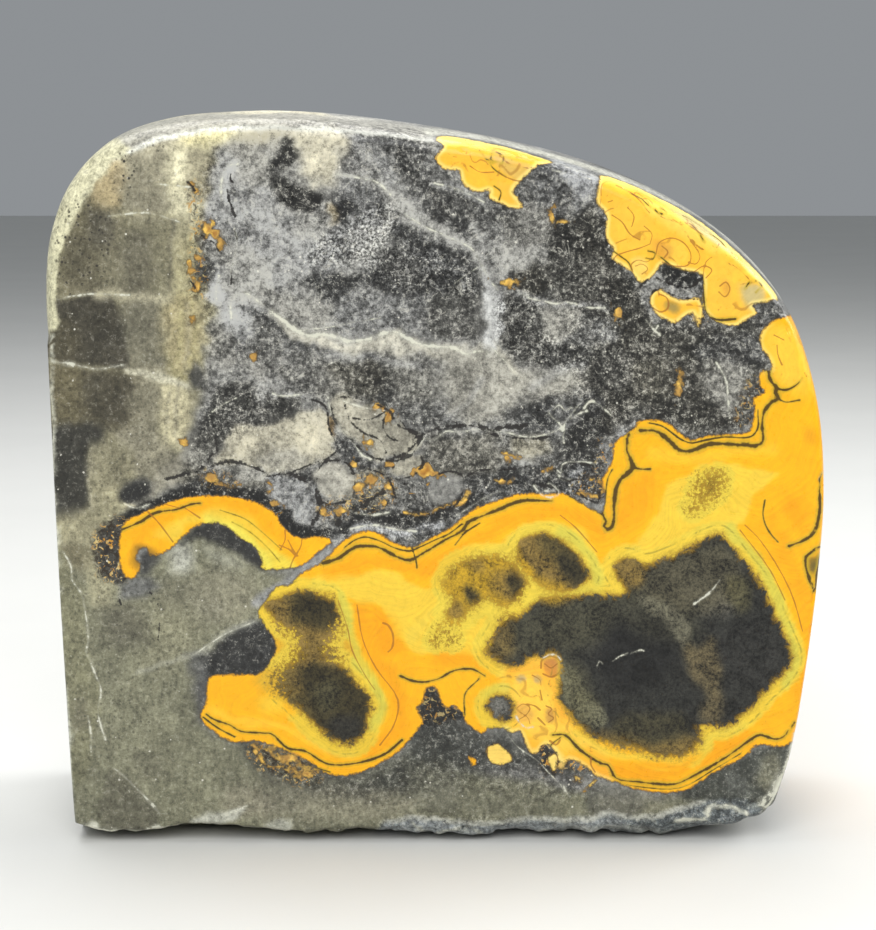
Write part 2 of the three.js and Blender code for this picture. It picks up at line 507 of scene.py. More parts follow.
# Small flecks of orange as x, y, half width and half height
FLECKS = [
    (552, 218, 3, 5), (562, 222, 6, 2), (508, 282, 9, 4), (618, 312, 4, 6), (679, 386, 3, 9),
    (377, 406, 3, 4), (389, 414, 5, 5), (370, 442, 4, 4), (354, 465, 4, 4), (359, 487, 6, 5),
    (371, 479, 4, 5), (389, 487, 4, 4), (385, 503, 3, 3), (425, 471, 9, 7), (212, 479, 8, 4),
    (322, 512, 5, 4), (341, 511, 8, 3), (207, 230, 5, 6), (214, 233, 5, 5), (213, 224, 3, 4),
    (220, 245, 3, 6), (191, 184, 3, 2), (196, 190, 2, 3), (198, 258, 3, 3), (189, 262, 3, 4),
    (190, 271, 3, 3), (193, 278, 2, 2), (197, 287, 3, 6), (193, 318, 2, 3), (253, 357, 3, 3),
    (184, 443, 4, 4), (388, 463, 3, 3), (502, 481, 3, 3), (506, 458, 3, 3), (560, 765, 5, 3),
    (292, 758, 5, 5), (308, 775, 6, 4), (275, 503, 5, 3), (256, 752, 3, 3),
]

# Dark cores in the bands
CORE_RIGHT = [
    (485, 650), (494, 634), (503, 618), (512, 614), (521, 616), (535, 601), (548, 597), (580, 594),
    (625, 593), (620, 584), (613, 570), (624, 557), (646, 563), (676, 553), (700, 541), (720, 534),
    (731, 545), (743, 560), (758, 578), (771, 603), (783, 630), (793, 658), (784, 675), (767, 691),
    (744, 716), (725, 727), (702, 727), (701, 742), (687, 755), (660, 757), (640, 751), (620, 746),
    (598, 740), (583, 730), (568, 714), (557, 695), (562, 665), (558, 656), (535, 658), (513, 668),
    (489, 657),
]
CORE_SMALL = [
    (530, 536), (545, 533), (560, 538), (573, 548), (583, 562), (590, 577), (580, 586), (566, 592),
    (550, 589), (535, 580), (520, 568), (515, 556), (519, 544),
]
CORE_MOTTLED = [
    (444, 582), (452, 568), (465, 560), (480, 556), (497, 556), (511, 561), (521, 571), (527, 583),
    (522, 597), (512, 604), (500, 605), (488, 599), (480, 604), (470, 609), (463, 618), (452, 620),
    (446, 612), (452, 602), (448, 594),
]
CORE_LOBES = [
    (264, 606), (282, 596), (300, 590), (316, 593), (331, 596), (340, 612), (339, 625), (332, 637),
    (330, 649), (337, 660), (348, 671), (358, 683), (371, 698), (368, 722), (361, 740), (346, 745),
    (325, 736), (308, 720), (292, 704), (278, 692), (274, 676), (288, 662), (297, 650), (295, 636),
    (280, 624),
]
CORE_EYE = [
    (487, 703), (496, 696), (507, 696), (514, 706), (511, 717), (499, 721), (489, 714),
]
CORES = [
    CORE_RIGHT,
    CORE_SMALL,
    CORE_MOTTLED,
    CORE_LOBES,
    CORE_EYE,
]
# Faint peppery spots: x, y and radius
CORE_SPOTS = [
    (443, 633, 9), (436, 640, 7), (452, 640, 7), (710, 485, 16), (702, 496, 12), (692, 508, 8),
    (718, 478, 10),
]

# All lines are written as half width, faintness and route.

# Dark contour lines in the yellow
CONTOURS = [
    (1.9, 0, [(323, 563), (337, 559), (355, 547), (365, 546), (378, 547), (400, 558), (410, 560),
     (425, 552), (445, 540), (463, 530), (468, 522), (480, 517), (500, 509), (520, 501), (552, 501)]),
    (1.0, 0, [(345, 547), (355, 540), (365, 537), (380, 541), (395, 548), (410, 551), (420, 547),
     (435, 540), (450, 533), (462, 524)]),
    (0.8, 0, [(412, 548), (416, 560), (417, 568)]),
    (0.8, 0, [(455, 545), (465, 533), (480, 523)]),
    (1.3, 0, [(570, 496), (585, 503), (595, 510), (603, 515)]),
    (1.0, 0, [(604, 505), (606, 490), (608, 478), (612, 470)]),
    (2.2, 0, [(602, 513), (606, 522), (604, 526), (608, 529), (612, 526), (614, 518), (614, 505),
     (616, 490), (620, 480), (628, 473), (633, 468), (630, 458), (627, 450), (627, 440), (629, 434)]),
    (1.4, 0, [(632, 467), (640, 469), (650, 469)]),
    (2.2, 0, [(640, 430), (655, 431), (665, 437), (680, 450), (690, 451), (710, 444), (745, 445),
     (758, 445), (763, 440), (762, 425), (765, 410), (772, 402), (778, 398), (775, 392), (777, 388),
     (770, 380), (768, 370)]),
    (1.2, 0, [(777, 388), (785, 390), (795, 386), (802, 379)]),
    (0.8, 0, [(778, 398), (785, 402), (800, 400)]),
    (0.9, 0, [(650, 423), (662, 426), (682, 440), (692, 443), (705, 440), (725, 437), (750, 437),
     (757, 430), (758, 410)]),
    (1.8, 0, [(823, 475), (820, 490), (820, 510), (817, 525), (812, 535), (800, 542), (789, 546)]),
    (0.7, 0, [(765, 500), (763, 515), (768, 530), (778, 542)]),
    (1.7, 0, [(822, 545), (812, 552), (806, 557), (806, 567), (810, 580), (815, 591), (818, 572),
     (821, 556)]),
    (1.6, 0.1, [(553, 735), (565, 735), (580, 750), (600, 763), (608, 765), (616, 778), (640, 782),
     (675, 784), (695, 775), (725, 758), (750, 740), (760, 735), (775, 739), (783, 737), (795, 722)]),
    (0.6, 0.4, [(612, 782), (640, 787), (680, 788), (715, 769), (740, 754)]),
    (1.2, 0, [(206, 714), (213, 719), (230, 725), (240, 731), (262, 733), (272, 734), (287, 748),
     (305, 751), (325, 763), (337, 765), (362, 762), (385, 754), (402, 740)]),
    (0.9, 0, [(203, 717), (218, 728), (235, 737)]),
    (0.9, 0, [(310, 765), (320, 769), (330, 772)]),
    (1.3, 0, [(400, 676), (418, 682), (438, 679), (453, 671), (472, 669), (485, 676)]),
    (0.9, 0, [(478, 680), (466, 692), (464, 700), (465, 715)]),
    (1.6, 0, [(121, 530), (140, 522), (155, 513), (178, 509), (192, 504), (200, 503)]),
    (0.6, 0.4, [(220, 510), (245, 519), (262, 532), (282, 550)]),
    (0.6, 0.5, [(232, 522), (250, 532), (268, 548), (280, 562)]),
    (1.4, 0, [(702, 276), (703, 290), (708, 316), (720, 320), (735, 319)]),
    (0.9, 0, [(545, 757), (552, 744), (560, 738)]),
    # Marks in the patches
    (0.9, 0, [(631, 192), (637, 195), (643, 198)]),
    (0.8, 0, [(645, 201), (650, 206)]),
    (0.8, 0, [(655, 210), (661, 207), (667, 211), (661, 214), (655, 210)]),
    (0.8, 0.2, [(686, 213), (697, 217), (707, 225)]),
    (1.0, 0, [(693, 223), (699, 231), (704, 242)]),
    (0.8, 0.1, [(712, 232), (722, 237), (728, 246)]),
    (0.9, 0, [(648, 251), (655, 253), (653, 259), (646, 258)]),
    (0.8, 0, [(662, 258), (672, 266), (684, 271), (702, 276)]),
    (0.9, 0, [(745, 290), (749, 283), (758, 281), (763, 286), (756, 292)]),
    (0.8, 0.2, [(612, 250), (620, 256), (628, 262), (632, 270)]),
    (0.8, 0.1, [(491, 160), (492, 153), (500, 152), (504, 158), (499, 164), (492, 161)]),
    (0.8, 0.2, [(480, 150), (487, 160), (494, 169), (506, 177)]),
    (0.7, 0.3, [(512, 160), (520, 156), (532, 160), (540, 158)]),
    (0.8, 0.1, [(494, 186), (501, 192), (499, 200)]),
]

# Thin rusty lines and cracks in the yellow
RUST_LINES = [
    (0.8, 0.2, [(357, 605), (363, 640), (376, 668), (398, 700), (394, 725), (380, 745)]),
    (0.6, 0.2, [(338, 600), (348, 630), (352, 650), (368, 680), (375, 690)]),
    (0.9, 0.2, [(383, 623), (388, 625), (393, 635), (392, 648), (388, 652)]),
    (0.7, 0.1, [(148, 512), (158, 522), (165, 531), (173, 542)]),
    (0.7, 0.2, [(160, 503), (180, 508)]),
    (0.7, 0.2, [(185, 508), (200, 518)]),
    (0.9, 0.2, [(302, 538), (301, 546), (293, 560), (290, 568)]),
    (0.8, 0.2, [(288, 540), (295, 553), (298, 556)]),
    (0.8, 0.2, [(279, 545), (290, 550), (296, 556)]),
    (0.8, 0.2, [(285, 530), (285, 540), (280, 550)]),
    (0.6, 0.2, [(745, 525), (760, 540), (790, 590), (805, 640)]),
    (0.6, 0.2, [(740, 530), (770, 570), (785, 600)]),
    (0.6, 0.2, [(560, 515), (575, 527), (597, 552)]),
    (0.8, 0.2, [(774, 335), (784, 340)]),
    (0.8, 0.2, [(777, 345), (778, 355), (782, 365)]),
    (0.7, 0.2, [(805, 372), (808, 378)]),
    (0.8, 0.2, [(527, 704), (535, 706), (540, 710)]),
    (0.8, 0.2, [(538, 718), (545, 725)]),
    (0.8, 0.2, [(540, 690), (542, 700)]),
    (1.3, 0.2, [(560, 740), (556, 745), (550, 741)]),
    (1.0, 0.2, [(591, 757), (591, 765), (595, 772)]),
    (0.9, 0.2, [(573, 778), (578, 783)]),
    (0.9, 0.2, [(597, 778), (585, 786), (580, 792)]),
    (0.9, 0.2, [(685, 232), (700, 248), (705, 250)]),
    (0.8, 0.2, [(690, 225), (705, 235)]),
    (0.8, 0.2, [(632, 195), (640, 190), (646, 196), (650, 203)]),
    (0.7, 0.2, [(656, 254), (659, 243), (671, 238), (684, 243), (691, 255), (688, 265), (674, 266),
     (662, 262)]),
    (0.8, 0.2, [(662, 246), (668, 252), (664, 258)]),
    (0.9, 0.2, [(659, 294), (667, 298), (668, 308), (661, 312), (653, 308)]),
    (0.9, 0.2, [(720, 286), (726, 282), (730, 289), (725, 297), (719, 292)]),
    (0.8, 0.2, [(606, 197), (611, 194), (613, 200), (608, 202)]),
    (0.8, 0.2, [(497, 150), (503, 158), (512, 166), (526, 168), (533, 167)]),
    (0.8, 0.2, [(498, 172), (506, 177), (518, 181), (528, 180), (534, 174)]),
    (0.8, 0.2, [(618, 184), (630, 190), (640, 200), (650, 214)]),
    (0.7, 0.2, [(612, 215), (622, 222), (630, 234), (640, 240)]),
    (0.7, 0.2, [(725, 262), (738, 268), (750, 280)]),
    (0.8, 0, [(541, 668), (542, 660), (551, 656), (560, 661), (560, 671), (552, 677), (543, 674)]),
    (0.7, 0, [(545, 664), (551, 668), (557, 664)]),
    (0.6, 0.3, [(532, 675), (540, 680), (541, 685)]),
    (0.6, 0.3, [(546, 706), (552, 709), (548, 714), (554, 718), (549, 722)]),
    (0.6, 0.3, [(517, 708), (523, 704), (530, 708), (526, 715), (518, 720)]),
    (0.6, 0.4, [(520, 712), (528, 718), (530, 724)]),
    (0.8, 0, [(487, 746), (498, 743), (509, 752), (513, 761), (503, 766), (489, 762), (487, 746)]),
    (0.7, 0, [(549, 756), (556, 754), (558, 764), (554, 772), (548, 763)]),
    (0.7, 0.1, [(752, 256), (762, 266), (772, 277)]),
    (0.7, 0.3, [(633, 272), (631, 265), (638, 260), (647, 262), (652, 258)]),
    (0.7, 0.3, [(636, 266), (642, 264), (648, 269), (642, 274)]),
    (0.6, 0.4, [(703, 276), (706, 262), (717, 255), (736, 257), (749, 266), (756, 278)]),
    (0.7, 0.3, [(612, 262), (616, 256), (626, 252), (640, 248), (650, 244)]),
    (0.6, 0.3, [(688, 238), (700, 256), (696, 264), (688, 262)]),
    (0.6, 0.3, [(660, 216), (676, 222), (690, 222), (702, 230)]),
    (0.6, 0.3, [(626, 206), (634, 216), (632, 226)]),
    (0.6, 0.3, [(644, 226), (652, 234), (650, 244)]),
    (0.6, 0.2, [(694, 272), (704, 266), (712, 270), (706, 278)]),
    (0.6, 0.3, [(444, 150), (452, 156), (462, 156), (470, 150)]),
    (0.6, 0.3, [(470, 166), (480, 172), (494, 172)]),
    (0.7, 0.1, [(716, 238), (712, 244), (717, 248), (721, 243)]),
]

# Dark cracks through the ash and calcite
CRACKS = [
    (2.2, 0, [(390, 461), (412, 448), (422, 436), (441, 427), (472, 426), (490, 430), (507, 427),
     (528, 426)]),
    (1.3, 0, [(491, 434), (510, 437), (531, 439), (548, 437)]),
    (1.0, 0, [(231, 174), (230, 179), (233, 182)]),
    (1.2, 0, [(227, 190), (228, 198), (231, 206), (235, 216)]),
    (0.7, 0.4, [(235, 216), (235, 232), (238, 246), (233, 262), (231, 285)]),
    (1.3, 0, [(202, 236), (207, 240), (213, 242), (217, 248), (220, 253)]),
    (1.0, 0.2, [(552, 404), (554, 409)]),
    (1.2, 0, [(562, 470), (572, 464), (588, 465), (594, 471)]),
    (1.0, 0.1, [(561, 478), (568, 481), (577, 479)]),
    (1.5, 0, [(541, 485), (549, 486), (556, 490), (557, 494)]),
    (1.1, 0, [(576, 488), (582, 496), (590, 500), (598, 502), (600, 492)]),
    (1.0, 0.2, [(188, 182), (192, 186), (195, 191)]),
    (1.0, 0.2, [(190, 280), (194, 286), (198, 293)]),
    (2.2, 0, [(382, 492), (358, 509), (337, 524)]),
    (1.4, 0.1, [(165, 480), (182, 475), (200, 470), (204, 463), (216, 450), (215, 438)]),
    (1.6, 0, [(211, 466), (230, 462), (250, 466), (263, 472)]),
    (1.7, 0, [(268, 476), (290, 474), (306, 482), (318, 492), (319, 512), (311, 525)]),
    (1.2, 0.1, [(317, 472), (326, 461), (346, 463), (354, 475), (352, 497), (340, 503), (318, 501),
     (317, 472)]),
    (1.2, 0.1, [(393, 468), (402, 458), (419, 454), (423, 464), (412, 476), (396, 479)]),
    (1.1, 0.2, [(436, 475), (450, 471), (463, 477), (461, 497), (448, 510), (432, 506)]),
    (1.3, 0.1, [(331, 400), (334, 420), (345, 433), (366, 453), (388, 461), (410, 456), (420, 436),
     (398, 425), (388, 410), (345, 397), (331, 400)]),
    (1.0, 0.3, [(345, 405), (350, 420), (362, 432), (380, 440), (386, 452)]),
    (1.0, 0.3, [(337, 425), (350, 418), (368, 420), (385, 412)]),
    (1.0, 0.3, [(388, 410), (383, 425), (390, 438), (405, 441), (420, 436)]),
    (1.0, 0.3, [(303, 397), (325, 406), (329, 428), (337, 449), (328, 458), (309, 465), (285, 475)]),
    (1.1, 0.2, [(425, 437), (410, 432), (400, 420)]),
    (1.0, 0.2, [(352, 474), (370, 470), (388, 478), (396, 498)]),
    (1.0, 0.3, [(434, 476), (420, 484), (404, 484)]),
    (1.0, 0.2, [(463, 478), (480, 470), (505, 470), (530, 466)]),
    (1.2, 0.2, [(101, 530), (108, 545), (104, 560), (112, 575)]),
    (0.9, 0.5, [(150, 592), (160, 610), (158, 640)]),
    (0.9, 0.3, [(125, 578), (118, 592), (121, 604)]),
    (1.2, 0.2, [(641, 286), (652, 277), (668, 283), (690, 287), (702, 278)]),
    (1.2, 0.2, [(649, 300), (656, 290), (680, 297), (701, 300)]),
]

# Pale lines and veins through the ash and calcite
VEINS = [
    (1.6, 0, [(270, 311), (285, 322), (297, 331), (312, 336), (320, 334), (335, 337), (349, 341),
     (366, 339), (381, 334), (394, 331), (404, 336), (420, 344), (434, 346), (455, 348), (466, 354),
     (478, 351), (487, 352)]),
    (1.4, 0, [(50, 361), (71, 364), (98, 369), (117, 366), (123, 365)]),
    (1.0, 0.4, [(58, 298), (91, 294), (129, 295)]),
    (1.0, 0.6, [(109, 216), (148, 213), (180, 222)]),
    (1.0, 0.6, [(157, 184), (189, 187)]),
    (1.0, 0.2, [(115, 769), (126, 778), (139, 791), (152, 804), (160, 815)]),
    (1.1, 0.6, [(337, 174), (360, 178), (377, 182), (391, 195)]),
    (1.0, 0.6, [(434, 183), (457, 189), (484, 202)]),
    (1.0, 0.9, [(405, 214), (425, 227), (449, 237), (472, 249), (481, 264), (490, 281), (498, 290)]),
    (0.6, 0.7, [(455, 283), (466, 275), (478, 267)]),
    (1.0, 0.6, [(519, 293), (532, 299), (544, 301), (556, 304), (566, 302), (585, 307), (605, 308)]),
    (1.0, 0.3, [(493, 349), (504, 360), (516, 374)]),
    (0.9, 0.2, [(548, 411), (553, 418), (560, 424), (563, 431)]),
    (0.9, 0.2, [(563, 431), (566, 421), (571, 415), (577, 407)]),
    (1.0, 0.2, [(572, 418), (580, 413), (587, 411)]),
    (0.9, 0.3, [(584, 408), (591, 401), (598, 404), (604, 409), (611, 415)]),
    (0.8, 0.5, [(553, 410), (559, 405), (565, 410), (571, 408)]),
    (0.8, 0.6, [(563, 436), (564, 443)]),
    (0.7, 0.4, [(234, 226), (237, 244), (234, 258), (231, 272)]),
    (1.6, 0.8, [(221, 200), (222, 180), (228, 166), (238, 164)]),
    (1.4, 0.8, [(217, 300), (216, 288), (219, 276)]),
    (1.8, 0.8, [(231, 318), (232, 300), (244, 293), (262, 304), (272, 314)]),
    (0.8, 0.9, [(300, 330), (330, 327), (356, 322), (380, 318)]),
    (0.8, 0.8, [(212, 412), (224, 404), (236, 398)]),
    (1.0, 0.3, [(399, 462), (416, 449), (425, 438), (434, 440), (446, 431), (456, 432), (481, 429),
     (504, 432), (529, 437), (556, 431), (563, 426)]),
    (1.0, 0.2, [(273, 394), (285, 396), (303, 394)]),
    (1.0, 0.3, [(328, 398), (330, 408), (337, 425), (352, 440), (362, 455), (371, 459)]),
    (0.9, 0.5, [(340, 400), (362, 407), (388, 411)]),
    (0.9, 0.1, [(534, 486), (539, 492), (543, 496), (552, 497), (559, 493), (556, 488), (548, 484)]),
    (0.8, 0.4, [(545, 491), (549, 491), (553, 491)]),
    (0.9, 0.2, [(557, 470), (561, 473), (562, 465), (568, 462), (580, 462), (594, 463)]),
    (0.8, 0.4, [(559, 476), (564, 480), (572, 480)]),
    (0.8, 0.4, [(594, 463), (596, 470), (600, 475)]),
    (0.8, 0.7, [(543, 658), (549, 655), (556, 655), (561, 660)]),
    (0.8, 0.4, [(516, 716), (520, 723), (527, 728), (533, 727)]),
    (1.0, 0.6, [(63, 551), (71, 567), (72, 580), (81, 593), (86, 617), (88, 640), (86, 652), (90, 661),
     (97, 678), (101, 689), (98, 713), (101, 727), (106, 740)]),
    (1.0, 0.3, [(88, 716), (91, 734), (91, 752)]),
    (1.0, 0.9, [(256, 621), (239, 628), (225, 634), (208, 645), (193, 655)]),
    (0.7, 0.9, [(507, 734), (518, 747), (538, 761), (547, 771), (560, 784)]),
    (1.1, 0.1, [(564, 787), (567, 793), (570, 797)]),
    (1.0, 0.2, [(222, 815), (235, 811), (246, 806)]),
    (1.0, 0.3, [(646, 320), (654, 330), (660, 335)]),
    (0.9, 0.4, [(652, 335), (658, 326)]),
    (1.0, 1.0, [(551, 169), (570, 174), (595, 179)]),
    (0.9, 0.7, [(457, 515), (470, 507), (486, 497), (500, 491)]),
    (1.0, 0.1, [(125, 504), (136, 508), (150, 504)]),
    (1.0, 0.3, [(352, 512), (372, 515), (390, 512)]),
    (1.0, 0.3, [(350, 529), (372, 525), (400, 530), (416, 531)]),
    (0.9, 0.4, [(716, 362), (726, 380), (728, 400), (730, 418)]),
    # The pale lines down the lower right edge are a painted highlight; the next one, along the broken
    # arris, is partly painted highlight and partly its own pale chips.
    (1.7, -0.4, [(797, 735), (791, 752), (784, 775), (777, 793), (768, 806)]),
    (2.0, -0.4, [(778, 776), (776, 788), (768, 799), (762, 803)]),
    (1.3, 0, [(676, 821), (692, 819), (706, 819), (709, 809), (718, 806), (733, 807), (747, 814)]),
    (1.6, 0, [(97, 830), (115, 832), (136, 833)]),
    (1.4, 0, [(148, 829), (156, 827), (163, 829)]),
    (2.0, 0, [(91, 824), (95, 827)]),
    (0.8, 0.2, [(694, 604), (708, 594), (720, 580)]),
    (0.8, 0.0, [(597, 666), (600, 661), (603, 664)]),
    (0.7, 0.2, [(613, 661), (620, 656), (628, 653)]),
    (0.7, 0.2, [(634, 652), (641, 650), (644, 651)]),
]

# Threads of orange in the ground
THREADS = [
    (1.4, [(252, 743), (264, 751), (277, 757), (290, 768), (302, 775)]),
    (1.1, [(272, 750), (285, 756), (300, 765), (318, 774)]),
    (1.0, [(258, 756), (266, 764), (280, 770), (296, 776)]),
    (1.2, [(278, 752), (281, 762), (290, 768)]),
    (1.1, [(405, 515), (434, 511), (453, 506)]),
    (2.4, [(456, 504), (466, 500), (472, 494)]),
    (1.1, [(217, 484), (230, 485), (242, 484)]),
    (1.4, [(543, 473), (550, 470), (556, 467)]),
    (1.5, [(578, 492), (586, 497), (597, 497), (603, 490), (598, 482), (590, 480)]),
    (1.0, [(573, 780), (576, 777), (580, 779), (577, 782)]),
    (1.2, [(579, 792), (587, 785), (595, 779)]),
    (1.2, [(266, 480), (272, 486), (268, 492)]),
    (1.2, [(505, 456), (514, 454), (520, 458)]),
    (1.0, [(498, 478), (508, 482), (516, 478)]),
]

# Clouds of colour in the ground: colour, strength, softness in pixels, outline. Later ones lie on top.
CALCITE_CLOUDS = [
    # The two bodies of calcite, left and below
    (CALCITE, 1, 10, [(-120, -40), (205, -40), (214, 120), (214, 160), (205, 205), (204, 250), (210, 290),
     (214, 330), (205, 385), (190, 430), (186, 462), (165, 488), (125, 515), (108, 560), (125, 600),
     (-120, 600)]),
    (OLIVE_GREY, 1, 8, [(-120, 570), (118, 575), (150, 560), (190, 528), (225, 528), (258, 565), (300, 585),
     (270, 640), (205, 665), (198, 720), (260, 752), (330, 780), (400, 757), (430, 740), (470, 770),
     (540, 785), (640, 800), (800, 775), (960, 780), (960, 1000), (-120, 1000)]),
    # Left, from the top
    (PALE_BEIGE, 0.8, 10, [(95, 175), (130, 120), (200, 100), (345, 100), (345, 150), (300, 190),
     (290, 165), (240, 145), (180, 150), (125, 165)]),
    (CREAM, 0.6, 10, [(180, 132), (230, 120), (232, 138), (205, 148), (182, 146)]),
    (TAN, 0.75, 6, [(92, 190), (104, 170), (122, 158), (125, 180), (118, 205), (95, 208)]),
    (WARM_GREY, 0.7, 12, [(128, 152), (165, 145), (170, 205), (160, 218), (126, 212)]),
    (tint(212, 206, 174), 0.85, 9, [(172, 150), (206, 152), (198, 205), (192, 222), (174, 224),
     (166, 190)]),
    (BEIGE, 0.75, 10, [(170, 222), (196, 218), (205, 265), (176, 290), (168, 250)]),
    (YELLOW_BEIGE, 0.5, 10, [(182, 240), (200, 235), (202, 300), (180, 300)]),
    (OLIVE, 0.6, 14, [(66, 210), (90, 200), (118, 215), (108, 260), (96, 292), (62, 292)]),
    (SMOKE, 0.8, 9, [(88, 210), (112, 212), (116, 235), (104, 246), (88, 240)]),
    (BEIGE, 0.35, 8, [(96, 262), (120, 250), (122, 290), (98, 292)]),
    (SMOKE, 0.6, 9, [(127, 232), (149, 232), (149, 292), (126, 292)]),
    (WARM_GREY, 0.6, 9, [(124, 302), (162, 305), (166, 372), (134, 372)]),
    (SMOKE, 0.5, 12, [(128, 308), (146, 308), (148, 345), (130, 345)]),
    (YELLOW_BEIGE, 0.8, 8, [(166, 300), (202, 300), (204, 340), (198, 384), (170, 378)]),
    (BEIGE, 0.6, 6, [(204, 300), (222, 312), (216, 350), (205, 352)]),
    (DARK_OLIVE, 0.95, 3, [(50, 301), (70, 298), (90, 295), (113, 299), (121, 311), (125, 330), (132, 360),
     (126, 367), (98, 366), (50, 357)]),
    (OLIVE, 0.5, 8, [(48, 318), (70, 320), (80, 356), (50, 356)]),
    (OLIVE, 0.9, 8, [(48, 364), (100, 370), (136, 376), (134, 428), (90, 432), (50, 427)]),
    (DARK_OLIVE, 0.75, 10, [(84, 374), (132, 378), (130, 424), (90, 420)]),
    (WARM_GREY, 0.6, 8, [(132, 380), (158, 384), (156, 430), (134, 425)]),
    (tint(192, 184, 150), 0.85, 6, [(160, 388), (188, 390), (187, 430), (178, 448), (164, 440)]),
    (tint(50, 49, 44), 0.97, 6, [(48, 428), (108, 428), (98, 445), (90, 470), (88, 508), (50, 514)]),
    (BEIGE, 0.55, 10, [(108, 430), (130, 432), (170, 440), (168, 468), (130, 476), (104, 455)]),
    (BEIGE, 0.6, 7, [(92, 452), (105, 445), (126, 460), (124, 490), (128, 510), (100, 503), (91, 480)]),
    (SMOKE, 0.7, 6, [(150, 462), (178, 455), (176, 472), (150, 482)]),
    (ash(0.24), 0.9, 4, [(124, 484), (138, 478), (158, 484), (150, 498), (132, 503), (122, 497)]),
    (ash(0.49, 2), 0.8, 5, [(160, 468), (190, 452), (202, 462), (196, 478), (160, 492), (135, 500),
     (150, 486)]),
    (ash(0.22), 0.9, 4, [(188, 366), (196, 362), (207, 374), (205, 388), (192, 386)]),
    (ash(0.26), 0.8, 4, [(187, 432), (201, 430), (203, 446), (190, 450)]),
    (SMOKE, 0.6, 4, [(204, 160), (212, 156), (212, 196), (204, 198)]),
    (tint(122, 118, 102), 0.75, 6, [(112, 430), (150, 426), (164, 442), (172, 456), (160, 474), (138, 478),
     (130, 456)]),
    (ash(0.13), 0.95, 3, [(122, 493), (131, 484), (146, 486), (152, 490), (138, 503), (127, 503)]),
    (tint(106, 103, 87), 0.75, 7, [(126, 306), (164, 306), (168, 340), (164, 364), (134, 362)]),
    (tint(118, 114, 96), 0.7, 6, [(132, 390), (156, 388), (156, 430), (134, 428)]),
    (tint(148, 138, 106), 0.7, 8, [(168, 300), (200, 300), (202, 345), (190, 366), (172, 366)]),
    (tint(112, 108, 88), 0.75, 6, [(88, 442), (128, 446), (128, 484), (92, 484)]),
    (tint(132, 126, 104), 0.7, 6, [(188, 150), (206, 150), (206, 200), (190, 204)]),
    (SMOKE, 0.35, 10, [(72, 240), (124, 240), (124, 290), (70, 292)]),
    # Below
    (BEIGE, 0.5, 9, [(60, 513), (118, 513), (112, 540), (62, 542)]),
    (OLIVE, 0.5, 6, [(62, 548), (92, 548), (84, 566), (64, 560)]),
    (BEIGE, 0.6, 9, [(84, 556), (102, 556), (112, 602), (92, 606)]),
    (SMOKE, 0.55, 14, [(106, 608), (138, 604), (144, 642), (110, 644)]),
    (BEIGE, 0.25, 18, [(150, 600), (200, 620), (190, 655), (140, 670), (150, 640)]),
    (WARM_GREY, 0.5, 16, [(195, 572), (252, 575), (254, 610), (230, 625), (195, 615)]),
    (SMOKE, 0.35, 10, [(158, 578), (186, 576), (190, 604), (160, 606)]),
    (PALE_GREY, 0.85, 9, [(170, 548), (188, 545), (194, 560), (186, 571), (171, 570)]),
    (PALE_GREY, 0.4, 8, [(205, 545), (235, 556), (245, 566), (215, 562)]),
    (ash(0.36, -0.3), 0.85, 6, [(122, 582), (150, 576), (160, 588), (140, 598), (122, 598)]),
    (ash(0.2), 0.9, 4, [(142, 556), (152, 551), (158, 560), (152, 570), (142, 574)]),
    (ash(0.17), 0.95, 4, [(178, 546), (190, 534), (208, 522), (232, 528), (254, 544), (266, 560),
     (264, 570), (250, 561), (236, 553), (216, 543), (196, 539)]),
    (ash(0.33, -0.3), 0.8, 7, [(190, 655), (212, 652), (214, 682), (204, 700), (196, 690)]),
    (ash(0.17), 0.97, 4, [(222, 640), (240, 628), (258, 620), (276, 632), (284, 648), (272, 664),
     (262, 674), (236, 680), (210, 676), (208, 660)]),
    (FACET, 0.75, 3, [(50, 548), (62, 550), (72, 566), (73, 578), (82, 591), (87, 632), (88, 650),
     (96, 674), (102, 696), (100, 722), (92, 740), (92, 765), (70, 790), (60, 700)]),
    (SMOKE, 0.45, 8, [(70, 700), (84, 700), (86, 726), (72, 728)]),
    (SMOKE, 0.5, 4, [(105, 778), (115, 770), (132, 785), (150, 801), (161, 817), (150, 830), (104, 830)]),
    (SMOKE, 0.3, 14, [(136, 755), (160, 755), (160, 775), (138, 775)]),
    (SLATE, 0.8, 12, [(240, 742), (262, 756), (330, 782), (400, 757), (430, 735), (460, 740), (456, 790),
     (400, 798), (316, 796), (262, 775)]),
    (SLATE, 0.85, 9, [(405, 745), (425, 715), (440, 700), (465, 725), (500, 735), (550, 750), (590, 775),
     (560, 770), (500, 765), (470, 768), (430, 770)]),
    (tint(66, 68, 62), 0.95, 6, [(684, 800), (690, 785), (745, 754), (790, 742), (835, 740), (835, 800),
     (740, 808), (700, 802)]),
    (tint(112, 110, 92), 0.8, 6, [(762, 762), (778, 752), (778, 776), (766, 792), (758, 784)]),
    (tint(98, 100, 94), 0.7, 5, [(724, 776), (742, 774), (748, 794), (730, 796)]),
    (tint(104, 103, 88), 0.5, 10, [(427, 782), (480, 778), (560, 790), (560, 812), (430, 812)]),
    (WARM_GREY, 0.5, 10, [(300, 786), (420, 800), (410, 816), (240, 812)]),
    (tint(108, 107, 92), 0.65, 9, [(410, 768), (452, 766), (454, 808), (412, 808)]),
    (tint(112, 110, 94), 0.6, 8, [(262, 776), (300, 782), (300, 808), (262, 806)]),
    (tint(80, 80, 73), 0.75, 6, [(588, 782), (642, 796), (642, 812), (588, 812)]),
    (WARM_GREY, 0.6, 9, [(225, 790), (262, 788), (270, 812), (225, 812)]),
    (WARM_GREY, 0.25, 9, [(595, 795), (660, 795), (668, 812), (600, 814)]),
]

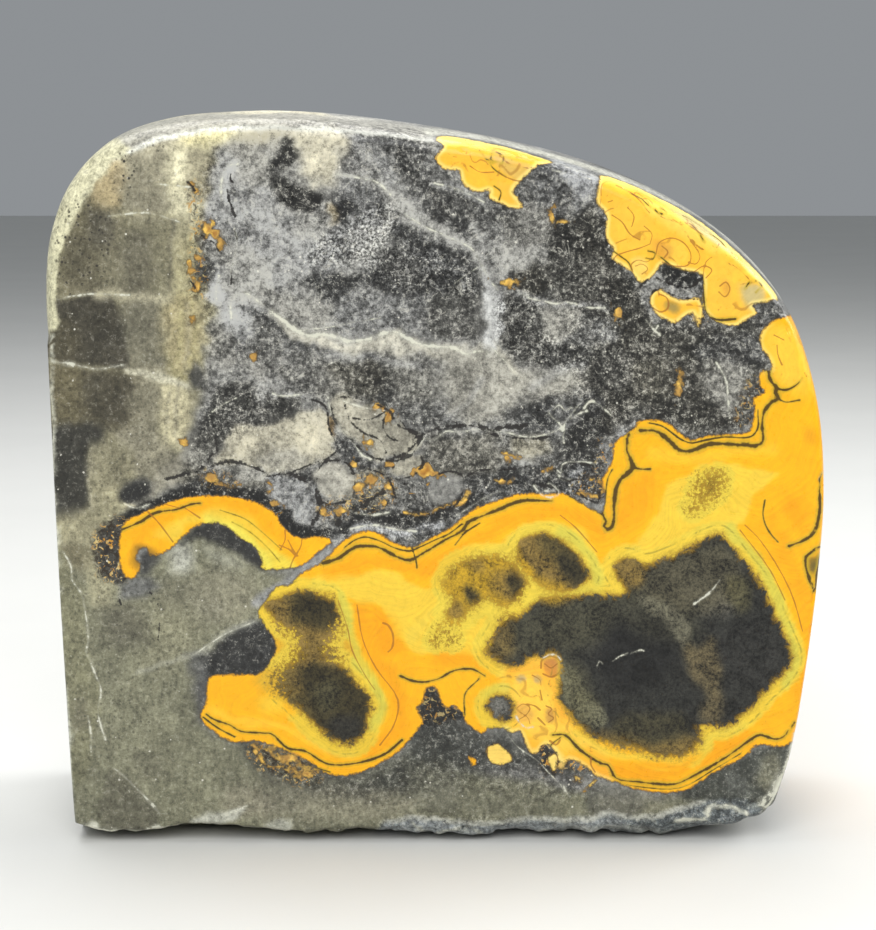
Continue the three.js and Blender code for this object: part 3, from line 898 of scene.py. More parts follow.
ASH_CLOUDS = [
    # The pale ash beside the left calcite
    (ash(0.57, 0.5), 0.9, 12, [(234, 150), (330, 128), (345, 180), (330, 230), (380, 290), (300, 300),
     (238, 300), (234, 200)]),
    (ash(0.84, 2.4), 0.9, 9, [(250, 100), (352, 100), (352, 130), (338, 150), (336, 176), (322, 186),
     (304, 174), (298, 148), (262, 140), (250, 138)]),
    (ash(0.63), 0.75, 9, [(237, 160), (262, 168), (276, 205), (304, 226), (330, 228), (318, 250),
     (285, 262), (238, 290)]),
    (ash(0.62), 0.7, 9, [(300, 250), (340, 232), (390, 218), (392, 250), (360, 264), (310, 272), (290, 290),
     (240, 300), (240, 285)]),
    (ash(0.74), 0.9, 4, [(219, 200), (221, 172), (228, 160), (238, 162), (231, 175), (227, 190),
     (229, 202)]),
    (ash(0.6), 0.75, 5, [(209, 165), (218, 160), (219, 200), (228, 215), (232, 250), (226, 262), (214, 240),
     (209, 205)]),
    (ash(0.38), 0.7, 4, [(228, 184), (238, 182), (246, 192), (238, 202), (230, 200)]),
    (ash(0.56), 0.7, 7, [(212, 262), (232, 262), (230, 350), (214, 372), (206, 352), (216, 310)]),
    (ash(0.86), 0.9, 3, [(213, 278), (221, 277), (220, 303), (213, 301)]),
    (ash(0.72), 0.9, 7, [(229, 290), (252, 292), (262, 308), (250, 318), (252, 340), (240, 348),
     (229, 338)]),
    (ash(0.25), 0.85, 5, [(198, 260), (208, 256), (214, 270), (208, 285), (198, 282)]),
    (ash(0.3), 0.7, 4, [(201, 240), (212, 234), (222, 240), (216, 250), (204, 250)]),
    (ash(0.4), 0.5, 7, [(262, 232), (274, 232), (274, 250), (262, 250)]),
    (ash(0.36), 0.6, 4, [(280, 250), (290, 252), (292, 262), (282, 260)]),
    # Dark blots
    (ash(0.11, 1), 0.95, 5, [(266, 166), (275, 152), (284, 143), (296, 145), (296, 160), (286, 165),
     (276, 170)]),
    (ash(0.3, 1), 0.8, 4, [(241, 154), (250, 152), (252, 158), (243, 161)]),
    (ash(0.35, 1), 0.7, 3, [(254, 174), (266, 171), (264, 177), (256, 178)]),
    (ash(0.2, 1), 0.95, 5, [(272, 172), (284, 174), (292, 183), (304, 187), (316, 192), (320, 201),
     (310, 212), (296, 209), (280, 202), (275, 190)]),
    (ash(0.35), 0.7, 3, [(308, 214), (320, 214), (322, 222), (312, 220)]),
    (ash(0.4), 0.85, 7, [(338, 182), (360, 178), (380, 186), (386, 205), (372, 220), (345, 222),
     (336, 200)]),
    (ash(0.16), 0.95, 3, [(332, 206), (341, 199), (351, 203), (357, 213), (349, 216), (342, 222),
     (339, 212)]),
    (TAN, 0.6, 3, [(328, 210), (336, 207), (338, 222), (330, 232)]),
    # The granular domes
    (ash(0.52), 0.7, 9, [(310, 232), (340, 222), (390, 218), (388, 245), (345, 262), (300, 268)]),
    (ash(0.2), 0.9, 7, [(302, 278), (318, 268), (350, 276), (372, 266), (392, 246), (400, 292), (374, 291),
     (345, 296), (332, 302), (312, 290)]),
    (ash(0.44), 0.85, 12, [(330, 300), (400, 290), (480, 290), (480, 336), (400, 330), (335, 330)]),
    (ash(0.26), 0.95, 6, [(390, 236), (398, 222), (412, 232), (430, 240), (450, 248), (466, 262),
     (478, 282), (482, 296), (470, 300), (440, 296), (400, 290)]),
    (ash(0.42), 0.6, 6, [(410, 254), (430, 252), (456, 262), (452, 270), (420, 266)]),
    (ash(0.3, 0.5), 0.85, 8, [(396, 134), (415, 142), (424, 175), (432, 192), (415, 190), (398, 160)]),
    (ash(0.55, 1), 0.7, 5, [(422, 138), (437, 136), (438, 152), (424, 152)]),
    (ash(0.3, 0.5), 0.95, 6, [(428, 198), (436, 187), (458, 189), (478, 199), (482, 222), (474, 240),
     (455, 236), (438, 218)]),
    (ash(0.22), 0.7, 5, [(450, 224), (470, 222), (474, 238), (456, 234)]),
    (ash(0.34, 0.3), 0.9, 10, [(484, 205), (525, 165), (560, 160), (600, 172), (606, 240), (560, 246),
     (500, 240), (486, 225)]),
    (ash(0.62, -0.2), 0.8, 7, [(568, 178), (586, 180), (590, 205), (578, 214)]),
    (ash(0.4, -0.4), 0.5, 10, [(535, 170), (560, 165), (560, 200), (540, 200)]),
    (ash(0.63, 0.5), 0.9, 5, [(495, 243), (515, 241), (538, 249), (540, 262), (526, 270), (502, 268)]),
    (ash(0.19, 1), 0.97, 6, [(545, 228), (607, 222), (612, 302), (566, 298), (548, 275)]),
    (ash(0.19, 2), 0.95, 5, [(512, 272), (532, 266), (553, 272), (551, 290), (530, 295), (514, 290)]),
    (ash(0.35, 0.7), 0.95, 6, [(500, 300), (510, 292), (536, 302), (542, 330), (560, 345), (580, 345),
     (600, 362), (560, 366), (520, 362), (502, 340)]),
    (ash(0.62, 1), 0.85, 6, [(543, 310), (575, 306), (583, 314), (568, 334), (550, 342)]),
    (ash(0.24, 1.5), 1, 12, [(585, 205), (604, 220), (612, 262), (640, 285), (655, 318), (700, 330),
     (750, 324), (768, 345), (757, 392), (742, 430), (690, 436), (655, 416), (620, 425), (612, 440),
     (585, 425), (580, 370), (598, 340), (575, 290)]),
    (ash(0.4, 2), 0.7, 8, [(630, 366), (668, 362), (672, 392), (636, 396)]),
    (ash(0.54), 0.7, 7, [(592, 322), (604, 318), (618, 330), (614, 342), (594, 338)]),
    (ash(0.52, 0.5), 0.75, 9, [(560, 366), (580, 362), (590, 385), (580, 400), (562, 398)]),
    (ash(0.32), 0.8, 7, [(698, 344), (762, 338), (764, 362), (700, 360)]),
    (ash(0.48, 0.8), 0.85, 5, [(702, 366), (716, 361), (740, 364), (756, 374), (755, 392), (742, 396),
     (736, 405), (731, 419), (724, 410), (712, 396)]),
    # The pale vein that widens into a cloud
    (ash(0.7, 1.5), 0.9, 5, [(270, 314), (285, 323), (298, 331), (320, 334), (349, 340), (370, 338),
     (394, 331), (410, 342), (440, 346), (484, 352), (484, 366), (440, 360), (400, 352), (360, 355),
     (320, 348), (290, 336)]),
    (ash(0.5, 1), 0.9, 7, [(510, 368), (556, 372), (588, 378), (578, 398), (540, 404), (510, 404)]),
    (ash(0.24, 0.5), 0.85, 6, [(536, 350), (590, 348), (588, 366), (556, 368)]),
    (ash(0.45, 1.2), 0.95, 8, [(450, 358), (480, 352), (512, 362), (520, 385), (508, 410), (480, 424),
     (458, 410), (448, 380)]),
    (ash(0.74, 0), 0.95, 3, [(484, 268), (491, 278), (500, 288), (500, 350), (486, 354), (481, 325),
     (482, 290)]),
    (ash(0.44, 1), 0.85, 10, [(388, 357), (425, 362), (440, 395), (400, 402), (385, 380)]),
    (ash(0.4, 0.5), 0.9, 8, [(254, 322), (266, 322), (285, 338), (320, 354), (332, 372), (328, 398),
     (300, 388), (262, 372), (250, 352)]),
    (ash(0.55), 0.5, 6, [(285, 344), (298, 342), (300, 362), (288, 362)]),
    (ash(0.27, 2), 0.85, 7, [(332, 366), (350, 362), (385, 365), (386, 385), (370, 396), (336, 396)]),
    (ash(0.5, 1), 0.7, 5, [(318, 365), (332, 368), (334, 400), (322, 400)]),
    # Lighter and darker fields between the lenses
    (ash(0.54, 1.2), 0.75, 7, [(440, 350), (486, 356), (505, 352), (516, 372), (532, 380), (570, 368),
     (588, 374), (566, 393), (530, 398), (500, 412), (472, 424), (455, 410), (440, 385)]),
    (ash(0.3, 0.8), 0.85, 7, [(428, 296), (477, 292), (479, 336), (450, 340), (428, 332)]),
    (ash(0.36, 1), 0.65, 8, [(545, 262), (600, 258), (606, 298), (560, 302), (546, 290)]),
    (ash(0.5, 0.8), 0.75, 7, [(500, 214), (545, 210), (550, 240), (508, 244), (500, 236)]),
    (ash(0.56, 0.3), 0.7, 6, [(384, 176), (404, 184), (418, 204), (436, 218), (462, 236), (482, 262),
     (462, 254), (436, 240), (408, 226), (392, 206)]),
    (ash(0.7, 0.6), 0.8, 8, [(228, 250), (264, 256), (268, 300), (230, 300)]),
    (ash(0.62, 0.6), 0.8, 5, [(212, 236), (230, 232), (232, 264), (216, 264)]),
    (ash(0.64, 0.8), 0.75, 7, [(258, 288), (300, 298), (332, 314), (330, 328), (296, 326), (268, 308)]),
    (ash(0.36, 0.6), 0.65, 7, [(262, 350), (325, 360), (325, 388), (298, 386), (262, 370)]),
    (ash(0.64, 0.8), 0.75, 6, [(208, 360), (245, 358), (266, 372), (250, 382), (210, 380)]),
    (ash(0.38, 1), 0.7, 6, [(206, 326), (232, 334), (236, 352), (208, 356)]),
    (ash(0.52, 1), 0.7, 7, [(232, 146), (262, 146), (270, 182), (240, 184)]),
    (ash(0.12, 1), 0.95, 3, [(284, 197), (300, 188), (315, 191), (320, 203), (309, 212), (292, 207)]),
    (ash(0.6, 0.2), 0.6, 5, [(350, 138), (372, 146), (392, 172), (394, 196), (376, 176), (356, 158)]),
    (ash(0.66, -0.5), 0.75, 6, [(554, 156), (600, 170), (590, 186), (580, 194), (573, 190), (562, 178)]),
    (ash(0.4, 0.6), 0.6, 7, [(372, 240), (400, 236), (412, 262), (440, 284), (408, 288), (380, 266)]),
    (ash(0.52, 1), 0.75, 5, [(190, 432), (206, 432), (213, 445), (210, 456), (196, 466), (184, 468)]),
    (ash(0.6, 1.2), 0.7, 6, [(482, 352), (505, 352), (517, 370), (536, 384), (530, 402), (508, 408),
     (498, 394), (486, 370)]),
    (ash(0.36, 0.8), 0.65, 7, [(598, 352), (628, 352), (632, 388), (600, 388)]),
    (ash(0.66, 0.6), 0.65, 6, [(294, 210), (328, 220), (326, 240), (296, 236)]),
    (ash(0.6, 0.4), 0.6, 6, [(352, 230), (386, 230), (382, 264), (354, 264)]),
    # Hollow, cream patch and breccia above the band
    (ash(0.52, 0.3), 0.85, 7, [(212, 372), (240, 370), (262, 380), (300, 393), (270, 394), (240, 386),
     (215, 400), (200, 425), (196, 412)]),
    (ash(0.26, 0.8), 0.95, 6, [(217, 392), (232, 384), (258, 390), (262, 402), (275, 393), (300, 398),
     (300, 412), (284, 418), (260, 428), (235, 434), (215, 440), (196, 440), (205, 415)]),
    (ash(0.42, 1), 0.8, 6, [(196, 430), (232, 432), (246, 424), (220, 452), (212, 462), (192, 462)]),
    (ash(0.65, 2.2), 0.97, 4, [(245, 426), (275, 420), (303, 409), (322, 408), (329, 428), (336, 448),
     (329, 457), (309, 464), (285, 474), (260, 471), (214, 461), (221, 449), (233, 433)]),
    (ash(0.78, 2.4), 0.7, 5, [(298, 432), (310, 425), (322, 440), (322, 452), (300, 448)]),
    (ash(0.76, 2.4), 0.7, 5, [(228, 452), (250, 436), (262, 436), (250, 452), (235, 460)]),
    (ash(0.62, 1), 0.6, 6, [(262, 456), (300, 450), (305, 462), (280, 472), (262, 466)]),
    (ash(0.56, 2), 0.95, 4, [(331, 400), (345, 398), (388, 410), (398, 425), (419, 436), (410, 455),
     (388, 460), (366, 452), (345, 432), (334, 420)]),
    (BROWN, 0.8, 3, [(326, 416), (332, 416), (336, 436), (328, 434)]),
    (ash(0.24), 0.9, 5, [(336, 436), (346, 434), (358, 450), (366, 462), (388, 462), (400, 466), (388, 474),
     (360, 468), (338, 456)]),
    (ash(0.65, 1.3), 0.95, 3, [(317, 472), (326, 462), (346, 464), (354, 476), (352, 496), (340, 502),
     (318, 500)]),
    (ash(0.48, 2), 0.9, 5, [(354, 470), (385, 475), (395, 500), (370, 510), (354, 505)]),
    (ash(0.58, 2), 0.95, 3, [(393, 466), (402, 458), (420, 456), (422, 466), (410, 476), (396, 477)]),
    (ash(0.4, 1.5), 0.9, 7, [(425, 440), (480, 436), (500, 440), (500, 470), (440, 476), (425, 460)]),
    (ash(0.52, 0.5), 0.95, 3, [(436, 476), (450, 472), (462, 478), (460, 496), (448, 510), (432, 505)]),
    (ash(0.55, 2.4), 0.9, 5, [(508, 440), (528, 434), (548, 440), (544, 455), (516, 458)]),
    (ash(0.45, 0.5), 0.7, 7, [(396, 480), (430, 482), (428, 506), (400, 508)]),
    (ash(0.24, 0.3), 0.95, 7, [(350, 510), (395, 515), (430, 510), (458, 502), (480, 480), (520, 470),
     (560, 474), (600, 462), (604, 496), (580, 494), (530, 490), (500, 496), (470, 510), (440, 528),
     (400, 540), (360, 530)]),
    (ash(0.36, -0.4), 0.5, 6, [(470, 498), (500, 484), (530, 478), (520, 486), (490, 496)]),
    (ash(0.42, -0.4), 0.7, 6, [(560, 476), (590, 480), (600, 470), (598, 486), (570, 488)]),
    (ash(0.26), 0.85, 6, [(520, 400), (556, 398), (560, 424), (524, 428)]),
    (ash(0.16, 0.6), 0.95, 8, [(572, 424), (600, 420), (606, 452), (598, 460), (566, 458)]),
    (ash(0.4), 0.6, 5, [(566, 402), (598, 398), (592, 410), (566, 414), (550, 408)]),
    (ash(0.22), 0.9, 3, [(562, 466), (592, 464), (596, 474), (572, 480), (560, 476)]),
    (ash(0.55, -0.3), 0.85, 3, [(570, 468), (580, 466), (585, 472), (574, 476)]),
    (ash(0.5), 0.75, 5, [(603, 436), (614, 432), (616, 462), (606, 466)]),
    (ash(0.54, 0.8), 0.95, 4, [(212, 465), (230, 462), (262, 470), (262, 480), (235, 483), (216, 480)]),
    (ash(0.59, -0.1), 0.95, 4, [(268, 476), (290, 476), (308, 484), (318, 494), (318, 516), (310, 526),
     (296, 520), (284, 508), (270, 492)]),
    (ash(0.36, 1.5), 0.85, 4, [(238, 482), (266, 478), (270, 494), (256, 492)]),
    (ash(0.62, -0.2), 0.95, 4, [(350, 529), (372, 525), (400, 530), (416, 531), (412, 537), (385, 536)]),
    (ash(0.6), 0.9, 3, [(617, 438), (626, 428), (636, 430), (632, 437)]),
    (ash(0.28, 0.5), 0.8, 5, [(550, 440), (568, 438), (568, 470), (536, 472), (538, 462), (550, 456)]),
    (ash(0.27), 0.75, 5, [(566, 390), (602, 394), (600, 412), (568, 414)]),
    # The granular black seam over the arch
    (ash(0.13), 0.97, 4, [(120, 520), (140, 509), (170, 493), (195, 486), (245, 486), (272, 496),
     (288, 512), (300, 526), (330, 530), (344, 536), (330, 546), (296, 540), (280, 528), (262, 510),
     (235, 502), (195, 502), (160, 508), (135, 520)]),
    # Under the yellow patches
    (ash(0.13), 0.95, 4, [(660, 270), (670, 264), (694, 276), (702, 284), (690, 287), (676, 284)]),
    (ash(0.5, 0.3), 0.97, 2, [(640, 286), (652, 278), (668, 284), (690, 287), (701, 278), (701, 300),
     (680, 297), (656, 290), (650, 300), (656, 316), (666, 322), (652, 320), (643, 304)]),
    # Dark matter poking up into the band, and dark crumbs beside it
    (ash(0.13), 0.97, 3, [(424, 688), (432, 684), (440, 698), (447, 708), (462, 712), (466, 724),
     (448, 722), (436, 724), (420, 726), (416, 712)]),
    (ash(0.16), 0.9, 3, [(545, 744), (556, 750), (562, 756), (560, 775), (548, 774), (544, 760)]),
    (ash(0.2, 1), 0.9, 4, [(96, 530), (122, 520), (124, 545), (122, 582), (104, 578), (96, 552)]),
    (ash(0.36, 3.5), 0.8, 4, [(250, 742), (290, 752), (310, 764), (320, 776), (290, 776), (262, 764)]),
]

# The broken arris below, and the outer rim above, where the pale cream and white along the bevel is a
# painted highlight and the grey beside it is the top's own colour
BREAK_CLOUDS = [
    (SLATE_BLUE, 0.95, 3, [(380, 860), (382, 826), (388, 821), (429, 818), (473, 824), (510, 821),
     (538, 818), (584, 820), (603, 813), (632, 817), (655, 816), (680, 809), (706, 801), (760, 806),
     (760, 860)]),
    (PALE_GREY, 0.8, 3, [(191, 822), (205, 814), (222, 812), (244, 808), (240, 816), (222, 824),
     (200, 827)]),
    (MILK, 0.8, 2, [(88, 828), (92, 822), (98, 824), (97, 830)]),
    (PALE_GREY, 0.7, 3, [(266, 822), (290, 820), (292, 832), (268, 832)]),
    (tint(142, 146, 146), 0.7, 4, [(385, 824), (430, 820), (475, 826), (540, 820), (600, 816), (622, 818),
     (622, 850), (385, 850)]),
]
# Painted highlight along the rim's bevel, where it catches the light from above
RIM_HIGHLIGHT_CLOUDS = [
    (RIM_HIGHLIGHT_CREAM, 0.95, 2, [(57, 330), (56, 300), (59, 262), (68, 232), (82, 205), (92, 190), (97, 180),
     (107, 172), (112, 162), (125, 157), (130, 147), (150, 138), (190, 110), (60, 40), (-20, 300),
     (30, 330)]),
    (ash(0.82, 1), 0.9, 5, [(345, 128), (390, 132), (432, 137), (434, 114), (345, 104)]),
    (ash(0.57, 1), 0.85, 3, [(130, 148), (170, 136), (240, 128), (300, 127), (350, 129), (432, 137),
     (434, 114), (350, 106), (240, 102), (160, 112), (120, 130)]),
    (tint(182, 181, 168), 0.95, 3, [(432, 137), (440, 127), (500, 130), (560, 148), (640, 172), (720, 214),
     (800, 290), (818, 282), (734, 198), (650, 154), (566, 130), (500, 112), (434, 112)]),
]

# Strokes of colour in the ground: colour, strength, half width, softness, route
GROUND_STROKES = [
    (ash(0.7, 0.5), 0.9, 4, 3, [(385, 186), (405, 214), (425, 227), (449, 237), (472, 249), (484, 268)]),
    (ash(0.62, 0.3), 0.7, 5, 4, [(474, 226), (478, 245), (488, 275)]),
    (ash(0.66, 0.5), 0.7, 4, 4, [(337, 174), (377, 182), (391, 195), (388, 222), (372, 250), (340, 268)]),
    (ash(0.62), 0.6, 5, 5, [(345, 132), (372, 150), (392, 180)]),
    (ash(0.4), 0.5, 3, 3, [(362, 138), (385, 165)]),
    (ash(0.76, 0.5), 0.8, 4, 3, [(396, 194), (412, 210), (430, 222), (448, 233)]),
    (ash(0.64), 0.7, 3, 3, [(434, 183), (457, 188), (484, 203)]),
    (ash(0.62), 0.5, 4, 4, [(240, 240), (290, 262), (345, 268)]),
    (ash(0.26), 0.75, 3, 3, [(240, 307), (267, 319), (285, 335), (305, 346), (335, 352)]),
    (ash(0.6), 0.6, 3, 3, [(330, 352), (370, 358), (420, 365)]),
    (ash(0.7), 0.6, 2, 2, [(273, 394), (285, 396), (303, 394)]),
    (ash(0.58), 0.7, 3, 3, [(519, 293), (544, 302), (566, 303), (605, 308)]),
    (ash(0.62), 0.5, 4, 4, [(530, 388), (560, 372), (584, 364)]),
    (ash(0.55), 0.5, 3, 3, [(450, 420), (470, 400), (480, 380)]),
    (ash(0.3), 0.5, 3, 3, [(240, 322), (246, 345), (240, 365)]),
    (ash(0.66, 1), 0.6, 3, 3, [(520, 392), (500, 404), (478, 416)]),
    (tint(188, 184, 162), 0.85, 4, 3, [(128, 369), (147, 375), (170, 382), (188, 387)]),
    (PALE_BEIGE, 0.45, 5, 5, [(95, 294), (129, 296), (165, 300)]),
    (PALE_BEIGE, 0.5, 1, 2, [(91, 448), (90, 480), (93, 505)]),
    (BEIGE, 0.5, 3, 3, [(112, 215), (150, 214), (185, 221)]),
    (BEIGE, 0.5, 3, 3, [(157, 184), (190, 187)]),
    (YELLOW_BEIGE, 0.7, 2, 2, [(193, 302), (194, 340), (188, 380)]),
    (YELLOW_BEIGE, 0.7, 2, 2, [(180, 304), (178, 360)]),
    (WARM_GREY, 0.6, 1, 2, [(186, 304), (186, 370)]),
    (WARM_GREY, 0.7, 1, 2, [(168, 392), (167, 440)]),
    (WARM_GREY, 0.7, 1, 2, [(177, 392), (176, 445)]),
    (SMOKE, 0.5, 2, 2, [(172, 220), (170, 290)]),
    (PALE_GREY, 0.5, 2, 3, [(139, 671), (190, 655), (208, 648), (230, 632), (257, 621)]),
    (ash(0.52), 0.95, 5, 2, [(338, 540), (320, 560), (300, 574), (283, 585), (256, 602)]),
    (ash(0.75, 3), 0.8, 1, 1, [(125, 504), (138, 508), (150, 504)]),
    (ash(0.1), 0.9, 3.5, 2, [(343, 534), (352, 522), (366, 516), (386, 518), (405, 519), (425, 513),
     (446, 508), (462, 500)]),
    (ash(0.68, -0.4), 0.9, 3, 2, [(352, 530), (372, 526), (392, 528), (406, 533), (416, 531), (440, 524)]),
    (ash(0.7, 1.5), 0.8, 1.5, 1.5, [(497, 340), (501, 352), (510, 366), (518, 378)]),
    (ash(0.62, 1.2), 0.4, 3, 3, [(505, 406), (530, 400), (560, 390), (586, 376)]),
    (ash(0.08), 0.9, 4, 2, [(122, 522), (140, 510), (160, 501), (185, 495), (215, 491), (250, 493),
     (270, 503), (284, 520), (296, 532), (320, 534)]),
]

# Painted highlights along the rim and the edges, and pale flakes on the broken arris, whose pale lines are
# partly its own chips and partly painted highlight
RIM_HIGHLIGHT_AND_FLAKE_STROKES = [
    (MILK, 0.8, 1.5, 1.5, [(53, 335), (51, 400), (54, 420), (53, 470), (58, 560), (61, 640), (66, 700),
     (72, 790)]),
    (MILK, 0.8, 2, 1.5, [(98, 831), (126, 833), (150, 831), (175, 827), (190, 828)]),
    # Painted highlight down the lower right edge
    (MILK, 0.85, 1.2, 1, [(797, 735), (791, 752), (784, 775), (776, 795), (768, 806)]),
    (MILK, 0.4, 2, 2, [(756, 808), (748, 806)]),
    (PALE_GREY, 0.85, 2.2, 1.3, [(388, 821), (429, 818), (473, 824), (510, 821), (538, 818), (584, 820),
     (603, 813), (632, 817), (655, 816), (680, 809), (706, 801)]),
    (MILK, 0.8, 1.5, 1, [(412, 824), (433, 834), (455, 828), (480, 832)]),
    (MILK, 0.8, 1.5, 1, [(540, 834), (548, 830), (558, 834)]),
    (MILK, 0.95, 1.2, 0.8, [(676, 821), (692, 819), (705, 819), (709, 809), (718, 806), (733, 807),
     (741, 810), (747, 814)]),
    (MILK, 0.5, 1.5, 1.5, [(640, 838), (652, 836), (690, 832), (720, 824)]),
    (PALE_GREY, 0.5, 3, 3, [(570, 830), (620, 828), (660, 832)]),
    (RIM_HIGHLIGHT_WHITE, 0.9, 2.5, 2, [(128, 153), (150, 142), (190, 133), (240, 128), (300, 128), (350, 130),
     (432, 138)]),
    (RIM_HIGHLIGHT_WHITE, 0.5, 1.5, 2, [(556, 158), (600, 176)]),
]

# Warm and pale clouds in the yellow: colour, strength, softness, outline
YELLOW_CLOUDS = [
    (PALE_YELLOW, 0.85, 2, [(700, 470), (720, 464), (750, 470), (778, 473), (765, 486), (750, 496),
     (744, 522), (700, 536), (660, 546), (625, 556), (645, 535), (660, 505), (668, 488), (680, 478)]),
    (PALE_YELLOW, 0.85, 2.5, [(306, 590), (312, 578), (335, 574), (356, 575), (375, 568), (398, 572),
     (412, 584), (436, 590), (452, 604), (432, 616), (420, 640), (404, 646), (380, 606), (362, 604),
     (350, 596), (330, 592)]),
    (PALE_YELLOW, 0.85, 2.5, [(404, 648), (420, 618), (448, 600), (478, 606), (510, 606), (494, 628),
     (484, 650), (470, 656), (440, 652), (420, 656)]),
    (PALE_YELLOW, 0.8, 2.5, [(446, 584), (452, 566), (470, 552), (500, 544), (514, 534), (530, 522),
     (556, 522), (586, 534), (600, 560), (606, 586), (590, 594), (560, 588), (530, 602), (500, 606),
     (470, 606)]),
    (WARM_YELLOW, 0.6, 4, [(605, 590), (612, 560), (640, 548), (690, 540), (720, 524), (735, 532),
     (735, 550), (660, 570), (620, 596)]),
    (PALE_YELLOW, 0.6, 7, [(262, 696), (282, 698), (284, 710), (264, 713)]),
    (tint(218, 200, 74), 0.85, 4, [(204, 512), (228, 515), (250, 528), (266, 545), (292, 560), (300, 572),
     (262, 578), (250, 556), (235, 541), (204, 527)]),
    (DEEP_ORANGE, 0.7, 9, [(375, 612), (388, 614), (400, 640), (398, 656), (384, 656), (376, 636)]),
    (DEEP_ORANGE, 0.6, 10, [(785, 500), (800, 495), (810, 512), (804, 530), (790, 525)]),
    (DEEP_ORANGE, 0.5, 12, [(625, 480), (655, 475), (650, 505), (625, 530), (612, 520)]),
    (WARM_YELLOW, 0.6, 9, [(762, 330), (800, 330), (820, 400), (780, 385)]),
    (tint(240, 184, 58), 0.45, 6, [(604, 205), (640, 205), (655, 232), (640, 252), (612, 246)]),
    (tint(244, 214, 112), 0.5, 4, [(640, 196), (680, 206), (742, 248), (728, 254), (700, 248), (660, 222)]),
    (tint(240, 180, 48), 0.6, 4, [(704, 264), (730, 256), (752, 268), (756, 290), (748, 314), (712, 316),
     (704, 290)]),
    (tint(238, 206, 130), 0.6, 3, [(632, 262), (644, 258), (652, 268), (642, 278), (633, 272)]),
    # A painted highlight: the pale strip along the upper edge of the shoulder patch
    (tint(238, 226, 150), 0.7, 3, [(690, 206), (712, 216), (742, 242), (772, 272), (790, 298), (776, 296),
     (760, 276), (736, 250), (706, 232), (686, 216)]),
    (tint(196, 180, 140), 0.7, 3, [(743, 292), (752, 286), (766, 290), (762, 304), (748, 308)]),
    (tint(242, 190, 64), 0.6, 2, [(660, 246), (672, 240), (686, 246), (688, 260), (674, 264)]),
    (tint(232, 166, 50), 0.6, 3, [(498, 184), (522, 192), (526, 207), (505, 208), (494, 198)]),
    (tint(236, 208, 116), 0.8, 2, [(485, 742), (514, 742), (516, 768), (485, 768)]),
    (tint(236, 208, 116), 0.8, 2, [(546, 752), (560, 752), (560, 774), (546, 774)]),
    # Painted highlights: the pale strips where the bevel above each patch catches the light
    (CREAM_YELLOW, 0.7, 3, [(436, 138), (445, 125), (500, 130), (560, 150), (556, 160), (530, 152),
     (480, 144), (450, 142)]),
    (CREAM_YELLOW, 0.7, 4, [(602, 178), (606, 165), (640, 168), (700, 200), (760, 260), (800, 300),
     (775, 296), (745, 262), (712, 234), (680, 208), (640, 186)]),
    (tint(196, 158, 52), 0.7, 7, [(266, 622), (300, 628), (340, 622), (352, 650), (350, 676), (330, 664),
     (296, 662), (272, 690), (256, 682), (274, 650)]),
    (LIME, 0.8, 6, [(505, 616), (515, 608), (560, 590), (600, 588), (600, 596), (540, 602)]),
    (WARM_YELLOW, 0.9, 5, [(520, 666), (545, 652), (562, 664), (556, 700), (568, 722), (590, 744),
     (556, 752), (520, 726), (512, 690)]),
    (tint(206, 148, 62), 0.7, 3, [(516, 706), (528, 704), (534, 712), (528, 722), (517, 720)]),
    (tint(172, 120, 52), 0.8, 2, [(546, 708), (554, 708), (555, 719), (547, 720)]),
    (tint(178, 106, 44), 0.95, 2, [(542, 662), (552, 658), (560, 664), (557, 674), (545, 674)]),
    (ash(0.57, -0.3), 0.8, 2, [(532, 678), (537, 675), (541, 680), (536, 684)]),
    (ash(0.57, -0.3), 0.8, 2, [(518, 677), (522, 675), (525, 679), (521, 681)]),
    (tint(196, 160, 84), 0.8, 4, [(494, 154), (504, 152), (512, 164), (530, 168), (536, 178), (514, 180),
     (500, 170)]),
    (BEIGE, 0.6, 4, [(672, 204), (690, 210), (722, 230), (724, 246), (708, 238), (684, 218)]),
    (BEIGE, 0.5, 5, [(742, 286), (762, 288), (758, 308), (744, 308)]),
    (RUST, 0.45, 4, [(655, 238), (670, 246), (668, 260), (656, 256)]),
    (RUST, 0.4, 4, [(721, 284), (729, 283), (728, 295), (721, 295)]),
    (OLIVE, 0.7, 4, [(669, 300), (679, 303), (677, 311), (668, 309)]),
    (CORE_OLIVE, 0.8, 4, [(810, 557), (818, 556), (816, 575), (810, 572)]),
    (RUST, 0.25, 5, [(806, 428), (817, 430), (816, 443), (808, 441)]),
    (BROWN, 0.7, 6, [(138, 545), (152, 546), (156, 556), (146, 562), (138, 572), (134, 560)]),
]

